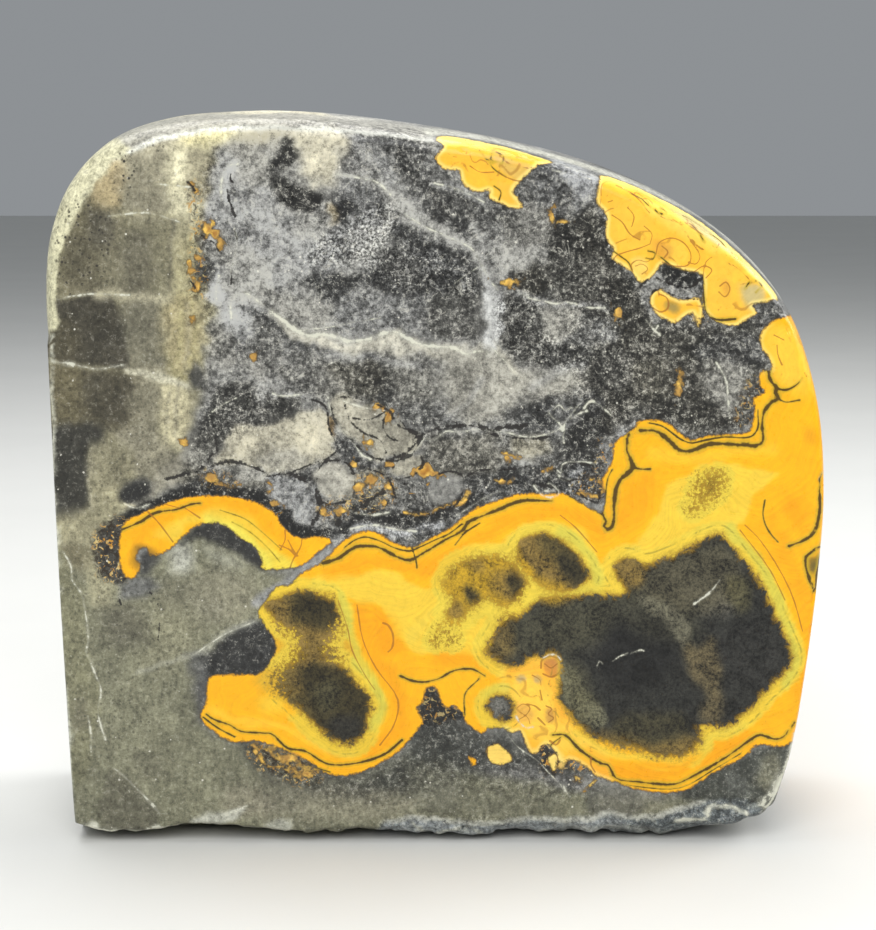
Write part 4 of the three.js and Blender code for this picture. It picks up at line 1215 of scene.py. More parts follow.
# Strokes in the yellow: colour, strength, half width, softness, route
YELLOW_STROKES = [
    (PALE_YELLOW, 0.8, 5, 5, [(160, 532), (186, 522), (215, 515), (245, 520), (270, 545)]),
    (PALE_YELLOW, 0.8, 5, 4, [(172, 535), (180, 530)]),
    (tint(226, 212, 84), 0.85, 4, 4, [(205, 520), (235, 528), (256, 548), (268, 565)]),
    (PALE_YELLOW, 0.8, 4, 3, [(745, 724), (715, 735), (706, 748), (680, 760), (630, 756), (600, 748),
     (575, 735)]),
    (DEEP_ORANGE, 0.5, 7, 6, [(330, 574), (380, 560), (430, 568), (470, 545), (510, 522), (560, 510),
     (600, 530)]),
    (DEEP_ORANGE, 0.5, 8, 7, [(360, 610), (372, 655), (398, 690), (400, 725), (370, 752)]),
    (DEEP_ORANGE, 0.5, 8, 7, [(600, 768), (650, 774), (700, 760), (745, 735)]),
    (DEEP_ORANGE, 0.5, 9, 7, [(440, 655), (480, 660), (530, 668), (560, 690), (566, 715)]),
    (WARM_YELLOW, 0.6, 4, 3, [(210, 708), (240, 722), (275, 724), (310, 744), (350, 756)]),
    (WARM_YELLOW, 0.5, 6, 5, [(650, 455), (690, 458), (740, 452), (770, 450)]),
    (DEEP_ORANGE, 0.35, 8, 6, [(770, 520), (785, 560), (805, 600), (812, 650), (800, 690)]),
    (DEEP_ORANGE, 0.3, 8, 6, [(140, 535), (170, 515), (215, 504), (255, 512), (285, 540)]),
    # A painted highlight: the thin pale line where the bevel along the right edge catches the light
    (CREAM_YELLOW, 0.45, 1.2, 1.5, [(742, 246), (770, 272), (790, 296), (806, 328), (820, 372), (830, 415),
     (836, 460)]),
]

# Colours inside the cores: colour, strength, softness, outline
CORE_CLOUDS = [
    (CORE_UMBER, 0.95, 4, [(250, 580), (360, 580), (390, 700), (370, 760), (300, 760), (250, 680)]),
    (CORE_UMBER, 0.9, 5, [(505, 528), (560, 525), (602, 570), (592, 592), (530, 590), (508, 570)]),
    (DARK_UMBER, 0.9, 7, [(300, 668), (340, 668), (368, 698), (364, 738), (345, 742), (318, 722)]),
    (CORE_BROWN, 0.9, 6, [(272, 626), (296, 624), (318, 630), (336, 624), (344, 640), (332, 656),
     (336, 668), (312, 662), (290, 668), (270, 664)]),
    (CORE_BROWN, 0.7, 8, [(262, 596), (284, 600), (284, 626), (262, 620)]),
    (CORE_OLIVE, 0.7, 9, [(318, 684), (334, 682), (338, 704), (324, 712), (314, 700)]),
    (DARK_UMBER, 0.8, 6, [(288, 600), (316, 594), (334, 600), (336, 624), (326, 634), (304, 622)]),
    (ash(0.13, 1), 0.8, 7, [(334, 716), (360, 716), (362, 738), (344, 744), (330, 732)]),
    (ash(0.13, 1), 0.7, 6, [(562, 556), (576, 562), (586, 578), (578, 584), (562, 572)]),
    (ash(0.34, 2), 0.7, 9, [(690, 585), (722, 570), (745, 590), (735, 612), (700, 612)]),
    (ash(0.09, 0.5), 0.95, 9, [(600, 640), (625, 618), (668, 622), (680, 645), (662, 680), (625, 690),
     (602, 668)]),
    (ash(0.14, 1), 0.7, 9, [(715, 640), (735, 622), (772, 628), (785, 660), (760, 690), (735, 690),
     (718, 670)]),
    (CORE_OLIVE, 0.7, 8, [(575, 690), (595, 700), (590, 735), (570, 715)]),
    (CORE_OLIVE, 0.5, 14, [(625, 560), (680, 553), (725, 545), (728, 585), (700, 610), (650, 600),
     (620, 590)]),
    (CORE_OLIVE, 0.35, 12, [(615, 590), (690, 600), (700, 640), (660, 640), (620, 625)]),
    (tint(86, 76, 52), 0.85, 6, [(686, 640), (700, 646), (712, 636), (720, 664), (722, 700), (718, 722),
     (700, 718), (706, 694), (690, 672)]),
    (tint(66, 62, 48), 0.75, 9, [(640, 570), (690, 552), (726, 546), (742, 575), (735, 600), (700, 612),
     (660, 606), (636, 592)]),
    (tint(92, 89, 73), 0.75, 4, [(638, 598), (660, 600), (680, 612), (692, 626), (686, 646), (678, 640),
     (668, 622), (648, 612)]),
    (tint(106, 104, 82), 0.85, 4, [(558, 668), (570, 664), (582, 680), (592, 702), (606, 718), (596, 726),
     (576, 714), (562, 694)]),
    (CORE_OLIVE, 0.6, 10, [(558, 660), (580, 662), (592, 700), (580, 735), (562, 710)]),
    (tint(66, 62, 38), 0.7, 7, [(728, 576), (745, 576), (752, 606), (735, 612)]),
    (CORE_BROWN, 0.85, 8, [(600, 730), (650, 742), (705, 738), (700, 756), (640, 756), (600, 750)]),
    (CORE_BROWN, 0.8, 6, [(614, 562), (632, 557), (644, 570), (640, 586), (622, 586)]),
    (CORE_OLIVE, 0.5, 12, [(505, 620), (560, 600), (615, 598), (600, 640), (540, 655), (500, 655)]),
    (CORE_BROWN, 0.6, 7, [(486, 650), (500, 624), (512, 616), (508, 660), (490, 660)]),
    (CORE_BROWN, 0.9, 9, [(510, 536), (534, 532), (546, 556), (566, 578), (580, 596), (525, 596),
     (508, 560)]),
    (CORE_GOLD, 0.8, 6, [(508, 552), (520, 560), (532, 574), (548, 582), (566, 586), (560, 600),
     (520, 590)]),
    (CORE_GOLD, 0.95, 4, [(430, 560), (480, 540), (532, 570), (525, 612), (480, 620), (450, 650),
     (425, 640)]),
    (CORE_UMBER, 0.8, 5, [(504, 576), (518, 574), (522, 590), (514, 600), (502, 596)]),
    (CORE_UMBER, 0.8, 4, [(463, 586), (478, 594), (478, 604), (466, 602)]),
    (tint(146, 116, 28), 0.95, 5, [(680, 462), (735, 462), (735, 505), (700, 525), (680, 515)]),
    (CORE_BROWN, 0.55, 8, [(262, 600), (286, 596), (290, 612), (280, 628), (262, 615)]),
    (CORE_BROWN, 0.5, 8, [(276, 664), (296, 664), (300, 690), (290, 700), (272, 684)]),
    (ash(0.42, 1), 0.8, 4, [(492, 701), (506, 699), (509, 713), (496, 716)]),
    (tint(66, 60, 34), 0.5, 9, [(612, 720), (684, 718), (690, 738), (620, 744)]),
    (CORE_BROWN, 0.7, 6, [(492, 570), (512, 568), (526, 584), (518, 602), (498, 600), (488, 586)]),
    (DARK_UMBER, 0.8, 4, [(508, 578), (520, 578), (525, 590), (512, 594)]),
    (CORE_BROWN, 0.7, 5, [(464, 560), (480, 558), (486, 570), (474, 574)]),
    (DARK_UMBER, 0.7, 4, [(464, 592), (476, 594), (482, 604), (470, 608)]),
    (CORE_BROWN, 0.8, 4, [(446, 604), (460, 602), (462, 618), (450, 618)]),
    (DARK_UMBER, 0.7, 6, [(560, 552), (578, 560), (588, 580), (572, 584)]),
    (CORE_BROWN, 0.6, 6, [(612, 562), (630, 558), (642, 568), (638, 590), (618, 590)]),
]

# How grainy the ground is: strength, softness, outline
GRAINY_SPOTS = [
    (1, 7, [(212, 150), (300, 118), (430, 118), (620, 165), (790, 320), (750, 440), (612, 450), (603, 505),
     (500, 500), (420, 545), (340, 545), (285, 520), (250, 488), (180, 488), (195, 440), (206, 380),
     (204, 300), (202, 215)]),
    (1, 4, [(120, 520), (170, 491), (245, 484), (290, 512), (344, 536), (330, 546), (235, 502),
     (160, 508)]),
    (0.5, 12, [(250, 745), (330, 780), (420, 740), (440, 700), (470, 730), (560, 765), (600, 785),
     (560, 800), (440, 790), (330, 800)]),
    (0.2, 8, [(680, 800), (700, 775), (750, 748), (800, 735), (800, 790), (740, 812)]),
    (0.25, 4, [(200, 645), (260, 615), (285, 648), (262, 675), (208, 680)]),
    (0.7, 3, [(380, 822), (430, 816), (584, 818), (680, 808), (760, 798), (760, 850), (380, 850)]),
]
CALM_SPOTS = [
    (0.9, 4, [(331, 400), (388, 410), (419, 436), (420, 476), (396, 477), (366, 452)]),
    (0.9, 4, [(317, 466), (352, 464), (352, 500), (317, 500)]),
    (0.9, 4, [(432, 474), (462, 474), (460, 500), (446, 510), (432, 505)]),
    (0.6, 6, [(480, 270), (502, 280), (502, 350), (480, 350)]),
    (0.7, 6, [(270, 314), (320, 334), (394, 331), (484, 352), (484, 366), (400, 352), (300, 345)]),
    (0.5, 9, [(430, 356), (515, 360), (560, 370), (520, 412), (450, 408)]),
    (0.5, 8, [(214, 461), (245, 424), (325, 406), (330, 456), (260, 471)]),
    (0.6, 8, [(296, 130), (340, 128), (340, 186), (322, 200), (300, 176)]),
    (1, 3, [(430, 110), (438, 138), (500, 136), (560, 156), (600, 174), (640, 182), (700, 212), (800, 300),
     (840, 280), (700, 160), (560, 100)]),
]
# Where the ash is coarse, salt and pepper
GRITTY_SPOTS = [
    (1, 8, [(318, 238), (345, 222), (392, 200), (396, 236), (372, 258), (330, 266), (305, 262)]),
    (1, 7, [(360, 262), (392, 244), (430, 246), (470, 272), (482, 296), (440, 296), (390, 290)]),
    (1, 7, [(500, 296), (536, 298), (545, 330), (580, 350), (600, 366), (520, 364), (500, 340)]),
    (0.7, 10, [(545, 225), (600, 225), (650, 300), (640, 420), (590, 430), (560, 300)]),
    (0.8, 9, [(345, 520), (430, 512), (520, 472), (600, 466), (600, 496), (500, 500), (400, 540)]),
    (0.7, 8, [(215, 392), (262, 388), (300, 400), (262, 428), (200, 440)]),
    (0.6, 9, [(396, 134), (424, 140), (434, 192), (410, 190)]),
]
PEPPER_SPOTS = [
    (1, 14, [(60, 210), (90, 195), (112, 205), (104, 292), (60, 300)]),
    (1, 5, [(116, 156), (128, 148), (136, 152), (130, 196), (114, 200)]),
    (0.8, 8, [(146, 140), (166, 140), (164, 162), (148, 160)]),
    (0.5, 16, [(60, 380), (130, 390), (190, 440), (120, 500), (60, 500)]),
    (0.5, 14, [(60, 580), (200, 590), (180, 690), (130, 760), (60, 740)]),
    (0.4, 20, [(240, 770), (420, 790), (500, 770), (560, 800), (240, 815)]),
]
# Where small crumbs and threads of orange lie in the ground
CRUMB_SPOTS = [
    (1, 4, [(96, 530), (124, 520), (124, 582), (100, 578)]),
    (1, 4, [(248, 744), (290, 752), (312, 766), (320, 780), (290, 782), (258, 768)]),
    (1, 4, [(540, 734), (570, 738), (600, 762), (606, 776), (570, 770), (545, 776)]),
    (0.9, 4, [(315, 503), (352, 498), (356, 512), (322, 520)]),
    (0.8, 4, [(354, 478), (392, 478), (392, 504), (356, 506)]),
    (0.9, 4, [(575, 480), (602, 474), (604, 500), (580, 498)]),
    (0.8, 3, [(600, 440), (618, 446), (608, 500), (598, 500)]),
    (0.9, 3, [(200, 474), (218, 470), (240, 484), (205, 486)]),
    (0.6, 3, [(412, 686), (446, 690), (466, 712), (440, 722), (414, 720)]),
    (0.7, 3, [(188, 180), (198, 180), (204, 250), (204, 300), (188, 296), (190, 250)]),
    (0.6, 4, [(736, 396), (762, 378), (764, 402), (740, 430)]),
    (0.8, 3, [(686, 300), (704, 304), (704, 330), (688, 320)]),
]
# Where the yellow is finely ringed, like agate
RINGED_SPOTS = [
    (1, 6, [(436, 130), (556, 150), (540, 215), (480, 205), (440, 170)]),
    (1, 6, [(595, 165), (700, 195), (800, 290), (740, 330), (640, 330), (600, 230)]),
    (0.8, 5, [(505, 650), (560, 650), (570, 740), (545, 760), (505, 735), (500, 690)]),
    (0.6, 5, [(755, 330), (800, 330), (815, 380), (790, 385), (765, 375)]),
    (0.7, 5, [(545, 740), (600, 745), (612, 785), (560, 780)]),
]
# Where the cores are loose grains rather than solid
LOOSE_SPOTS = [
    (0.2, 6, [(318, 590), (345, 600), (350, 660), (380, 700), (370, 750), (300, 740), (290, 700)]),
    (0.12, 6, [(480, 615), (512, 605), (520, 668), (480, 660)]),
    (0.85, 5, [(266, 624), (300, 628), (345, 618), (350, 662), (330, 666), (300, 664), (292, 690),
     (264, 694), (262, 670), (276, 650)]),
    (0.3, 6, [(436, 560), (500, 545), (530, 570), (525, 608), (470, 625), (440, 600)]),
    (0.9, 5, [(426, 622), (460, 620), (466, 650), (428, 652)]),
    (1, 6, [(685, 470), (728, 468), (728, 505), (690, 522), (678, 500)]),
    (0.25, 8, [(595, 735), (720, 728), (700, 765), (600, 765)]),
]

# Where the cores fade into the band without a pale rim
BARE_SPOTS = [
    (0.9, 6, [(594, 730), (640, 740), (668, 746), (694, 744), (700, 756), (680, 772), (630, 768),
     (596, 754)]),
    (1, 6, [(508, 664), (545, 650), (556, 645), (562, 700), (590, 738), (618, 764), (560, 770), (520, 740),
     (514, 700)]),
    (0.8, 5, [(250, 670), (276, 672), (300, 712), (270, 712)]),
]

# Greenish strokes in the pale rims of the cores
LIME_STROKES = [
    (LIME, 0.75, 5, 3, [(728, 528), (746, 544), (764, 570), (780, 604), (791, 640), (796, 660),
     (786, 684)]),
    (LIME, 0.75, 5, 3, [(340, 596), (350, 628), (356, 656), (374, 684), (381, 704), (372, 728)]),
    (LIME, 0.7, 5, 3, [(560, 531), (580, 542), (594, 562), (598, 580)]),
    (LIME, 0.5, 4, 3, [(484, 694), (494, 688), (508, 686)]),
]

# ---------------------------------------------------------------------------------------------
# Painting
# ---------------------------------------------------------------------------------------------

# In pixels of the photograph, unless a comment says otherwise
DRIFT = np.array([-70.0, 60.0])  # how far the pattern moves from face to back
WANDER = 55.0  # how far it also strays at the back
WANDER_LENGTH = 14.0  # mm
SOFT_RIPPLE = 3.5  # how far the borders inside the bands wobble
RIPPLE_LENGTH = 2.2  # mm
FAR = 40.0  # distances are cut off here
SPOT_EDGE = 6  # how far a peppery spot's border lies inside its radius
CONTOUR_DEPTH = 8  # from the band's border to the dark contour that follows it off the face
CONTOUR_HALF_WIDTH = 1.5
RIM_REACH = 14  # how far the pale rim spreads round a core
RIM_STRENGTH = 0.75  # a share
CRUMB_SHIFT = 80  # mm, so that the crumbs' ragged edges repeat no other noise
CRUMB_LENGTH = 0.6  # mm
CRUMB_RAGGEDNESS = 0.7  # a share of a crumb's size
CRUMB_RINGS = 0.35  # how finely ringed the crumbs are, a share


def within(points, shape, reach):
    """Which points are inside a shape's box, made larger by the reach."""
    return np.all((points > shape.min(axis=0) - reach) & (points < shape.max(axis=0) + reach), axis=1)


def signed_gap(points, outline):
    """Signed distance to an outline given by its points, positive inside, no lower than -FAR."""
    curve = smooth_curve(outline, closed=True)
    gap = np.full(len(points), -FAR)
    near = within(points, curve, FAR)
    gap[near] = np.maximum(depth_inside(points[near], curve), -FAR)
    return gap


def gap_of_all(points, outlines):
    """Signed distance to the borders of several outlines, positive inside any of them."""
    gap = np.full(len(points), -FAR)
    for outline in outlines:
        gap = np.maximum(gap, signed_gap(points, outline))
    return gap


def line_gap(points, lines):
    """Distance to the nearest line, in half widths of that line, plus its faintness."""
    gap = np.full(len(points), FAR)
    for half_width, faintness, route in lines:
        curve = smooth_curve(route)
        near = within(points, curve, FAR / 4)
        here = gap_to_route(points[near], curve) / half_width + faintness
        gap[near] = np.minimum(gap[near], here)
    return gap


def spot_weight(points, strength, softness, outline):
    """Which points are near a spot, and how strongly it covers them."""
    curve = smooth_curve(outline, closed=True, per_span=3)
    near = within(points, curve, softness)
    return near, strength * fade(-softness, softness, depth_inside(points[near], curve))


def weight_of(points, spots):
    """How strongly each point is covered by the strongest of the spots."""
    weight = np.zeros(len(points))
    for spot in spots:
        near, covered = spot_weight(points, *spot)
        weight[near] = np.maximum(weight[near], covered)
    return weight


def paint_clouds(layer, points, clouds):
    """Mixes the clouds into the layer's colours, one after the other."""
    for hue, *spot in clouds:
        near, weight = spot_weight(points, *spot)
        layer[near] += (hue - layer[near]) * weight[:, None]


def paint_strokes(layer, points, strokes):
    """Mixes the strokes into the layer's colours, one after the other."""
    for hue, strength, half_width, softness, route in strokes:
        curve = smooth_curve(route)
        near = within(points, curve, half_width + softness)
        gap = gap_to_route(points[near], curve)
        weight = strength * fade(half_width + softness, half_width - softness, gap)
        layer[near] += (hue - layer[near]) * weight[:, None]


def to_linear(colour):
    """The amounts of light of a colour that is given as a screen shows it."""
    colour = np.clip(colour, 0, 1)
    return np.where(colour <= 0.04045, colour / 12.92, ((colour + 0.055) / 1.055) ** 2.4)


def ground_colour(places, pixels, wander, depth):
    """The colour of the ash and the calcite with the painted highlight along the rim, and how grainy they
    are.
    """
    # The calcite's borders wobble softly, those of the ash are torn, and the rim's are finer
    ripple = noise_pair(places, 1.6)
    tatter = noise_pair(places, 0.9, 1)
    soft = pixels + 3.0 * ripple
    torn = pixels + 5.0 * ripple + 3.5 * tatter
    edge = pixels + 1.5 * ripple + tatter

    # Swirls, and sharp ridges between them
    warp = np.stack([wander[:, 0], ripple[:, 0], wander[:, 1]], -1)
    swirl = noise(places + 2.0 * warp, 4.0, 3)
    ridges = 1 - 2 * np.abs(noise(places + 1.4 * warp + 9, 2.6, 2))

    ground = np.tile(ASH_BASE, (len(places), 1))
    ground *= (1 + 0.2 * swirl)[:, None]
    paint_clouds(ground, soft, CALCITE_CLOUDS)
    paint_clouds(ground, torn, ASH_CLOUDS)
    paint_strokes(ground, soft, GROUND_STROKES)

    # Swirls and ridges shade it all, and most of all where it is grainy
    grainy = weight_of(pixels, GRAINY_SPOTS)
    ground *= (1 + (0.09 + 0.07 * grainy) * swirl + (0.05 + 0.06 * grainy) * ridges)[:, None]

    # The painted highlight along the rim and the break's own colours, both weaker away from the face
    before_highlight_and_break = ground.copy()
    paint_clouds(ground, edge, RIM_HIGHLIGHT_CLOUDS + BREAK_CLOUDS)
    paint_strokes(ground, edge, RIM_HIGHLIGHT_AND_FLAKE_STROKES)
    ground = before_highlight_and_break + (ground - before_highlight_and_break) * (0.3 + 0.7 * fade(0.4, 0.15, depth))[:, None]
    return ground, grainy * (1 - weight_of(pixels, CALM_SPOTS))


def crumb_gap(pixels, soft, ragged):
    """Signed distance to the flecks and threads of orange, positive inside."""
    gap = np.full(len(pixels), -FAR)
    for x, y, half_width, half_height in FLECKS:
        size = ellipse_size(pixels, x, y, half_width, half_height) * (1 + CRUMB_RAGGEDNESS * ragged)
        gap = np.maximum(gap, (1 - size) * min(half_width, half_height))
    for half_width, route in THREADS:
        gap = np.maximum(gap, half_width * (1 - line_gap(soft, [(half_width, 0, route)])))
    return gap


def core_gap(pixels):
    """Signed distance to the dark cores and peppery spots, positive inside."""
    gap = gap_of_all(pixels, CORES)
    for x, y, radius in CORE_SPOTS:
        gap = np.maximum(gap, radius - SPOT_EDGE - np.hypot(pixels[:, 0] - x, pixels[:, 1] - y))
    return gap


def sulphide_colour(soft, ripple, ragged, core, on_crumb):
    """The oranges and yellows, with browner crumbs and greenish rims round the cores."""
    colour = np.tile(ORANGE, (len(soft), 1))
    paint_clouds(colour, soft, YELLOW_CLOUDS)
    paint_strokes(colour, soft, YELLOW_STROKES)
    crumb_hue = CRUMB_BROWN + (CRUMB_YELLOW - CRUMB_BROWN) * fade(-0.5, 0.5, ragged)[:, None]
    colour += (crumb_hue - colour) * on_crumb[:, None]
    rim = RIM_STRENGTH * fade(-RIM_REACH, 1.5 - RIM_REACH, core + 1.2 * ripple[:, 1])
    rim *= 1 - weight_of(soft, BARE_SPOTS)
    colour += (RIM_YELLOW - colour) * rim[:, None]
    paint_strokes(colour, soft, LIME_STROKES)
    return colour


def paint(places):
    """Every attribute of the stone's markings, by name, at these places in millimetres."""
    depth = np.clip((places[:, 1] - FACE_Y) / (BACK_FOOT_Y - FACE_Y), 0, 1)
    pixels = pixels_from_face(places[:, 0], places[:, 2])
    wander = noise_pair(places, WANDER_LENGTH)
    pixels = pixels - DRIFT * depth[:, None] + wander * (WANDER * depth)[:, None]
    ripple = noise_pair(places, RIPPLE_LENGTH)
    soft = pixels + SOFT_RIPPLE * ripple
    ragged = noise(places + CRUMB_SHIFT, CRUMB_LENGTH)

    band = signed_gap(pixels, MAIN_BAND)
    patches = (ARCH, PATCH_TOP, PATCH_SHOULDER, PATCH_SMALL, *ISLANDS)
    yellow = np.maximum(band, gap_of_all(pixels, patches))
    crumbs = crumb_gap(pixels, soft, ragged)
    on_crumb = fade(-3, 0, crumbs) * fade(3, -1, yellow)
    core = core_gap(pixels)

    ground, grain = ground_colour(places, pixels, wander, depth)
    sulphide = sulphide_colour(soft, ripple, ragged, core, on_crumb)
    core_tint = np.tile(CORE_BLACK, (len(places), 1))
    paint_clouds(core_tint, soft, CORE_CLOUDS)

    # Off the face the band keeps its dark contour, which follows its border
    contour = line_gap(pixels, CONTOURS)
    beside_border = np.abs(band - CONTOUR_DEPTH) / CONTOUR_HALF_WIDTH
    followed = np.maximum(beside_border, fade(0.3, 0.05, depth) * FAR)
    return {
        "ground": to_linear(ground),
        "sulphide": to_linear(sulphide),
        "core_tint": to_linear(core_tint),
        "yellow": np.maximum(yellow, crumbs),
        "growth": band + 4 * ripple[:, 0],
        "core": core,
        "contour": np.minimum(contour, followed),
        "rust": line_gap(pixels, RUST_LINES),
        "crack": line_gap(pixels, CRACKS),
        "vein": line_gap(pixels, VEINS),
        "grain": grain,
        "gritty": weight_of(pixels, GRITTY_SPOTS),
        "pepper": weight_of(pixels, PEPPER_SPOTS),
        "crumb": weight_of(soft, CRUMB_SPOTS),
        "loose": weight_of(soft, LOOSE_SPOTS),
        "ringed": np.maximum(weight_of(pixels, RINGED_SPOTS), CRUMB_RINGS * on_crumb),
    }


# ---------------------------------------------------------------------------------------------
# The mesh
# ---------------------------------------------------------------------------------------------

# Where the flat drawing of the surface lies in the texture map
FACE_MAP = (0.0, 0.13, 0.0083)  # left, bottom and size of a millimetre
BACK_MAP = (0.79, 0.13, 0.0022)
EDGE_MAP_TOP = 0.12


def fleck_outline(x, y, half_width, half_height):
    """A closed ellipse in pixels."""
    turns = np.linspace(0, 2 * np.pi, FLECK_POINTS)
    return np.stack([x + half_width * np.cos(turns), y + half_height * np.sin(turns)], -1)


def drawn_routes(rim):
    """The drawn lines as runs of points on the face, each clear of the rim."""
    drawn = [route for _, _, route in CONTOURS + RUST_LINES + CRACKS + VEINS]
    drawn += [fleck_outline(*fleck) for fleck in FLECKS]
    routes = []
    for route in drawn:
        curve = face_from_pixels(even_steps(smooth_curve(route), LINE_STEP))
        clear = depth_inside(curve, rim) > FACE_STEP * ROUTE_RIM_CLEARANCE
        starts = np.flatnonzero(clear & ~np.roll(clear, 1))
        if clear.all():
            starts = np.array([0])
        for start in starts:
            stop = start
            while stop < len(curve) and clear[stop]:
                stop += 1
            if stop - start > 2:
                routes.append(curve[start:stop])
    return routes


def push(places, faces, amount):
    """Moves each point outward along its normal."""
    a, b, c = (places[faces[:, i]] for i in range(3))
    facing = np.cross(b - a, c - a)
    normals = np.zeros_like(places)
    for i in range(3):
        np.add.at(normals, faces[:, i], facing)
    normals /= np.maximum(np.linalg.norm(normals, axis=1), 1e-12)[:, None]
    return places + normals * amount[:, None]


def stone_shape():
    """The stone's points, their share of the front bevel and its triangles, then four counts: the edge's
    and the face's triangles, the points around a ring, and the rings."""
    samples = outline_samples()
    rings = profile_rings(samples)
    around = len(samples)
    face_rim = rings[0][0][:, [0, 2]]
    back_rim = rings[-1][0][:, [0, 2]]
    face_inner, face_faces = fill_rim(face_rim, FACE_STEP, drawn_routes(face_rim), FACE_SEED)
    back_inner, back_faces = fill_rim(back_rim, BACK_STEP, [], BACK_SEED)

    loft = np.vstack([places for places, _ in rings])
    face_points = np.insert(face_inner, 1, FACE_Y, axis=1)
    back_points = np.insert(back_inner, 1, BACK_FOOT_Y - BACK_LEAN * back_inner[:, 1], axis=1)
    places = np.vstack([loft, face_points, back_points])
    bevel_share = np.concatenate([
        np.repeat([share for _, share in rings], around),
        np.zeros(len(face_points)),
        np.ones(len(back_points)),
    ])

    ring, step = np.divmod(np.arange((len(rings) - 1) * around), around)
    here = ring * around + step
    onward = ring * around + (step + 1) % around
    edge_faces = np.vstack([
        np.stack([here, onward, here + around], -1),
        np.stack([onward, onward + around, here + around], -1),
    ])
    last_ring = len(loft) - around
    face_faces = np.where(face_faces < around, face_faces, face_faces + last_ring)
    back_shift = np.where(back_faces < around, last_ring, last_ring + len(face_points))
    back_faces = (back_faces + back_shift)[:, ::-1]
    faces = np.vstack([edge_faces, face_faces, back_faces])

    return places, bevel_share, faces, len(edge_faces), len(face_faces), around, len(rings)


def map_onto(chart, places):
    """The texture coordinates of places seen from the front, on one chart of the map."""
    left, bottom, scale = chart
    low = np.array([cad_low.x, cad_low.z]) / MM
    return np.array([left, bottom]) + (places[:, [0, 2]] - low) * scale


def texture_map(places, faces, edge_count, face_count, around, ring_count):
    """Edge, face and back laid out flat, each where nothing else is."""
    edge, face, back = np.split(faces, [edge_count, edge_count + face_count])
    step = edge % around
    wraps = (step.max(axis=1) - step.min(axis=1) > around / 2)[:, None] & (step == 0)
    along = np.where(wraps, around, step) / around
    inward = edge // around / (ring_count - 1) * EDGE_MAP_TOP
    return np.concatenate([
        np.stack([along, inward], -1),
        map_onto(FACE_MAP, places[face.ravel()]).reshape(-1, 3, 2),
        map_onto(BACK_MAP, places[back.ravel()]).reshape(-1, 3, 2),
    ])


# The wavy lower edge of the face, in pixels from left to right
LOWER_EDGE = [
    (74, 822), (88, 828), (128, 833), (152, 832), (168, 829), (191, 827), (223, 827), (255, 829),
    (279, 833), (381, 834), (440, 837), (540, 837), (614, 840), (651, 839), (900, 839),
]
LIFT_HEIGHT = 7.0  # how far up the lift of that edge reaches
LIFT_DEPTH = 7.0  # and how far back
LIFT_WOBBLE = 0.25

# The broken arris under the face, two pits in it, and small chips out of the other arrises
BREAK_DEPTH = 0.55
BREAK_LENGTH = 3.2  # how long its facets are
BREAK_GRAIN = 0.10
BREAK_GRAIN_LENGTH = 0.8
BREAK_TOP = 6.5  # the height above which nothing is broken
BREAK_FULL_BELOW = 3.5
BREAK_RUN_IN = 10.0  # how far to the left of its start the break sets in
BREAK_REACH = 9.0  # how far behind the face the breaks and chips end
BREAK_FULL_WITHIN = 6.0
PITS = [(467, 829, 6, 3.4), (551, 827, 4, 2.6)]  # x, y, half width and half height, in pixels
PIT_DEPTH = 1.1
CHIP_DEPTH = 0.45
CHIP_LENGTH = 2.4


def lift_lower_edge(places):
    """Raises the foot of the face to its wavy lower edge."""
    x, y, z = places.T
    edge = face_from_pixels(smooth_curve(LOWER_EDGE))
    lift = np.maximum(np.interp(x, edge[:, 0], edge[:, 1]) + LIFT_WOBBLE * noise(places, 1.5), 0)
    lift *= fade(LIFT_DEPTH, LIFT_DEPTH / 2, y - FACE_Y)
    raised = z + lift * np.clip(1 - z / LIFT_HEIGHT, 0, 1) ** 2
    return np.column_stack([x, y, raised])


def roughen(places, bevel_share, faces):
    """Breaks the lower arris, dents it with pits and nicks the other arrises."""
    x, y, z = places.T
    low_right = fade(BROKEN_START_X - BREAK_RUN_IN, BROKEN_START_X, x)
    low = fade(BREAK_TOP, BREAK_FULL_BELOW, z + np.maximum(y - FACE_Y - BREAK_FULL_WITHIN, 0))
    on_bevel = np.where(bevel_share > 0, fade(0, 0.15, bevel_share), 0)
    front = fade(FACE_Y + BREAK_REACH, FACE_Y + BREAK_FULL_WITHIN, y)
    broken = low_right * low * on_bevel * front
    facets = np.abs(noise(places, BREAK_LENGTH)) - 0.4
    amount = broken * (BREAK_DEPTH * facets + BREAK_GRAIN * noise(places, BREAK_GRAIN_LENGTH, 3))

    # Only the highest peaks of the noise make chips, and none where the bevel ends
    chips = fade(0.55, 0.8, noise(places, CHIP_LENGTH))
    amount -= CHIP_DEPTH * chips * on_bevel * front * (1 - broken) * fade(0.95, 0.5, bevel_share)

    pixels = pixels_from_face(x, z)
    for pit in PITS:
        amount -= PIT_DEPTH * fade(1.2, 0.4, ellipse_size(pixels, *pit)) * front
    moved = push(places, faces, amount)
    moved[:, 2] = np.maximum(moved[:, 2], 0)
    return moved


COLOUR_ATTRIBUTES = ("ground", "sulphide", "core_tint")  # the others are single numbers


